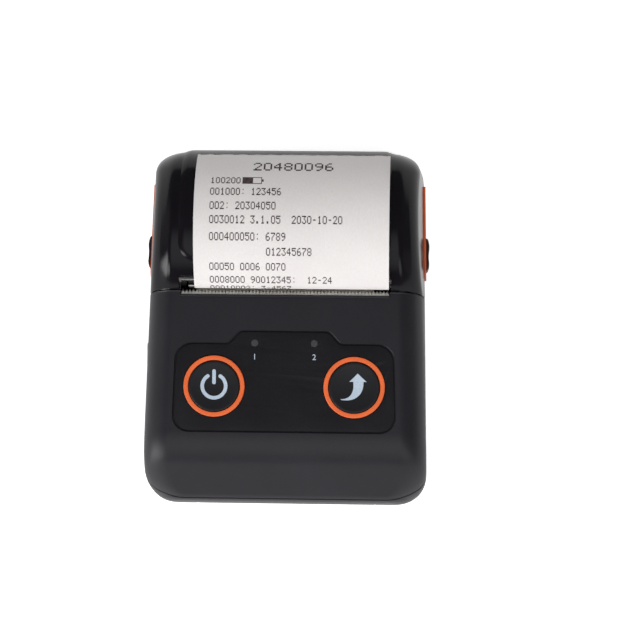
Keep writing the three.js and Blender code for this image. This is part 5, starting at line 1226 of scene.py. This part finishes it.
acetal = satin("acetal_natural", (0.62, 0.58, 0.48), 0.4)
inner_black = moulded("inner_black", (0.016, 0.016, 0.0175), 0.55, 1800, 1e-5, 0.15)
switch_black = satin("switch_black", (0.02, 0.02, 0.022), 0.45)
for *finish, names in (
        ("sheet_steel", (0.36, 0.37, 0.38), (0.58, 0.59, 0.6), 0.36, 700, (8, 1, 1),
         ["print_chassis"]),
        ("motor_can", (0.42, 0.43, 0.44), (0.6, 0.61, 0.62), 0.34, 1100, (1, 10, 10),
         ["stepper_motor"]),
        ("milled_aluminium", (0.5, 0.51, 0.53), (0.72, 0.73, 0.75), 0.32, 1400, (10, 1, 1),
         ["head_heatsink"]),
        ("turned_brass", (0.55, 0.36, 0.12), (0.78, 0.56, 0.24), 0.28, 1200, (1, 6, 6),
         ["motor_pinion", "battery_contacts"]),
        ("spring_wire", (0.45, 0.45, 0.46), (0.62, 0.62, 0.63), 0.26, 900, (1, 1, 1),
         ["head_spring_left", "head_spring_right", "head_pivot_pin", "gear_axle",
          "lever_pin_left", "lever_pin_right"])):
    coat(metal(*finish), *names)
coat(acetal, "platen_gear", "reduction_gear", "platen_bush_left", "platen_bush_right")
coat(inner_black, "lid_frame", "paper_bin")
coat(switch_black, "key_switch_left", "key_switch_right", "paper_sensor")
coat(paper, "paper_web")

ceramic = grainy("head_ceramic", (0.5, 0.46, 0.39), (0.62, 0.58, 0.5), (1800, 3.0), (0.2, 0.25),
                 Specular_IOR_Level=0.5, Coat_Weight=0.4, Coat_Roughness=0.1)
coat(ceramic, "print_head")

board = Paint("board_green", Coat_Weight=0.5, Coat_Roughness=0.12, Specular_IOR_Level=0.5)
board_weave = board.noise(2400, 2.0, at=board.place((1, 6, 1)))
board_tracks = board.node("ShaderNodeTexBrick", {}, {
    "Vector": board.place(), "Scale": 260.0, "Mortar Size": 0.014, "Mortar Smooth": 0.2,
    "Color1": (0, 0, 0, 1), "Color2": (0.15, 0.15, 0.15, 1), "Mortar": (1, 1, 1, 1)})
coat(board.finish(board_tracks.within(0.0, 1.0) * 0.6 + board_weave * 0.3, (0.008, 0.06, 0.02),
                  (0.03, 0.16, 0.06), board_weave * 0.2 + 0.3, board_tracks, 3e-5), "main_board")

film = Paint("polyimide_film", Specular_IOR_Level=0.5, Coat_Weight=0.3, Coat_Roughness=0.1)
film_x = film.node("ShaderNodeSeparateXYZ", {}, {"Vector": film.place()})
film_tracks = (film_x * 6283.2).math("SINE") > 0.2
coat(film.finish(film_tracks, (0.42, 0.15, 0.02), (0.6, 0.3, 0.07), film_tracks * -0.12 + 0.4,
                 film_tracks, 2e-5), "head_flex_cable")

wrap = Paint("battery_wrap", Specular_IOR_Level=0.5, Coat_Weight=0.3, Coat_Roughness=0.15)
wrap_slow, wrap_fine = wrap.noise(70, 3.0, 0.6, at=wrap.place((0.3, 1, 1))), wrap.noise(1300, 2.0)
coat(wrap.finish(wrap_slow.within(0.3, 0.7), (0.014, 0.03, 0.085), (0.03, 0.055, 0.14),
                 wrap_fine * 0.15 + wrap_slow * 0.15 + 0.2, wrap_slow, 1.5e-4), "battery_pack")
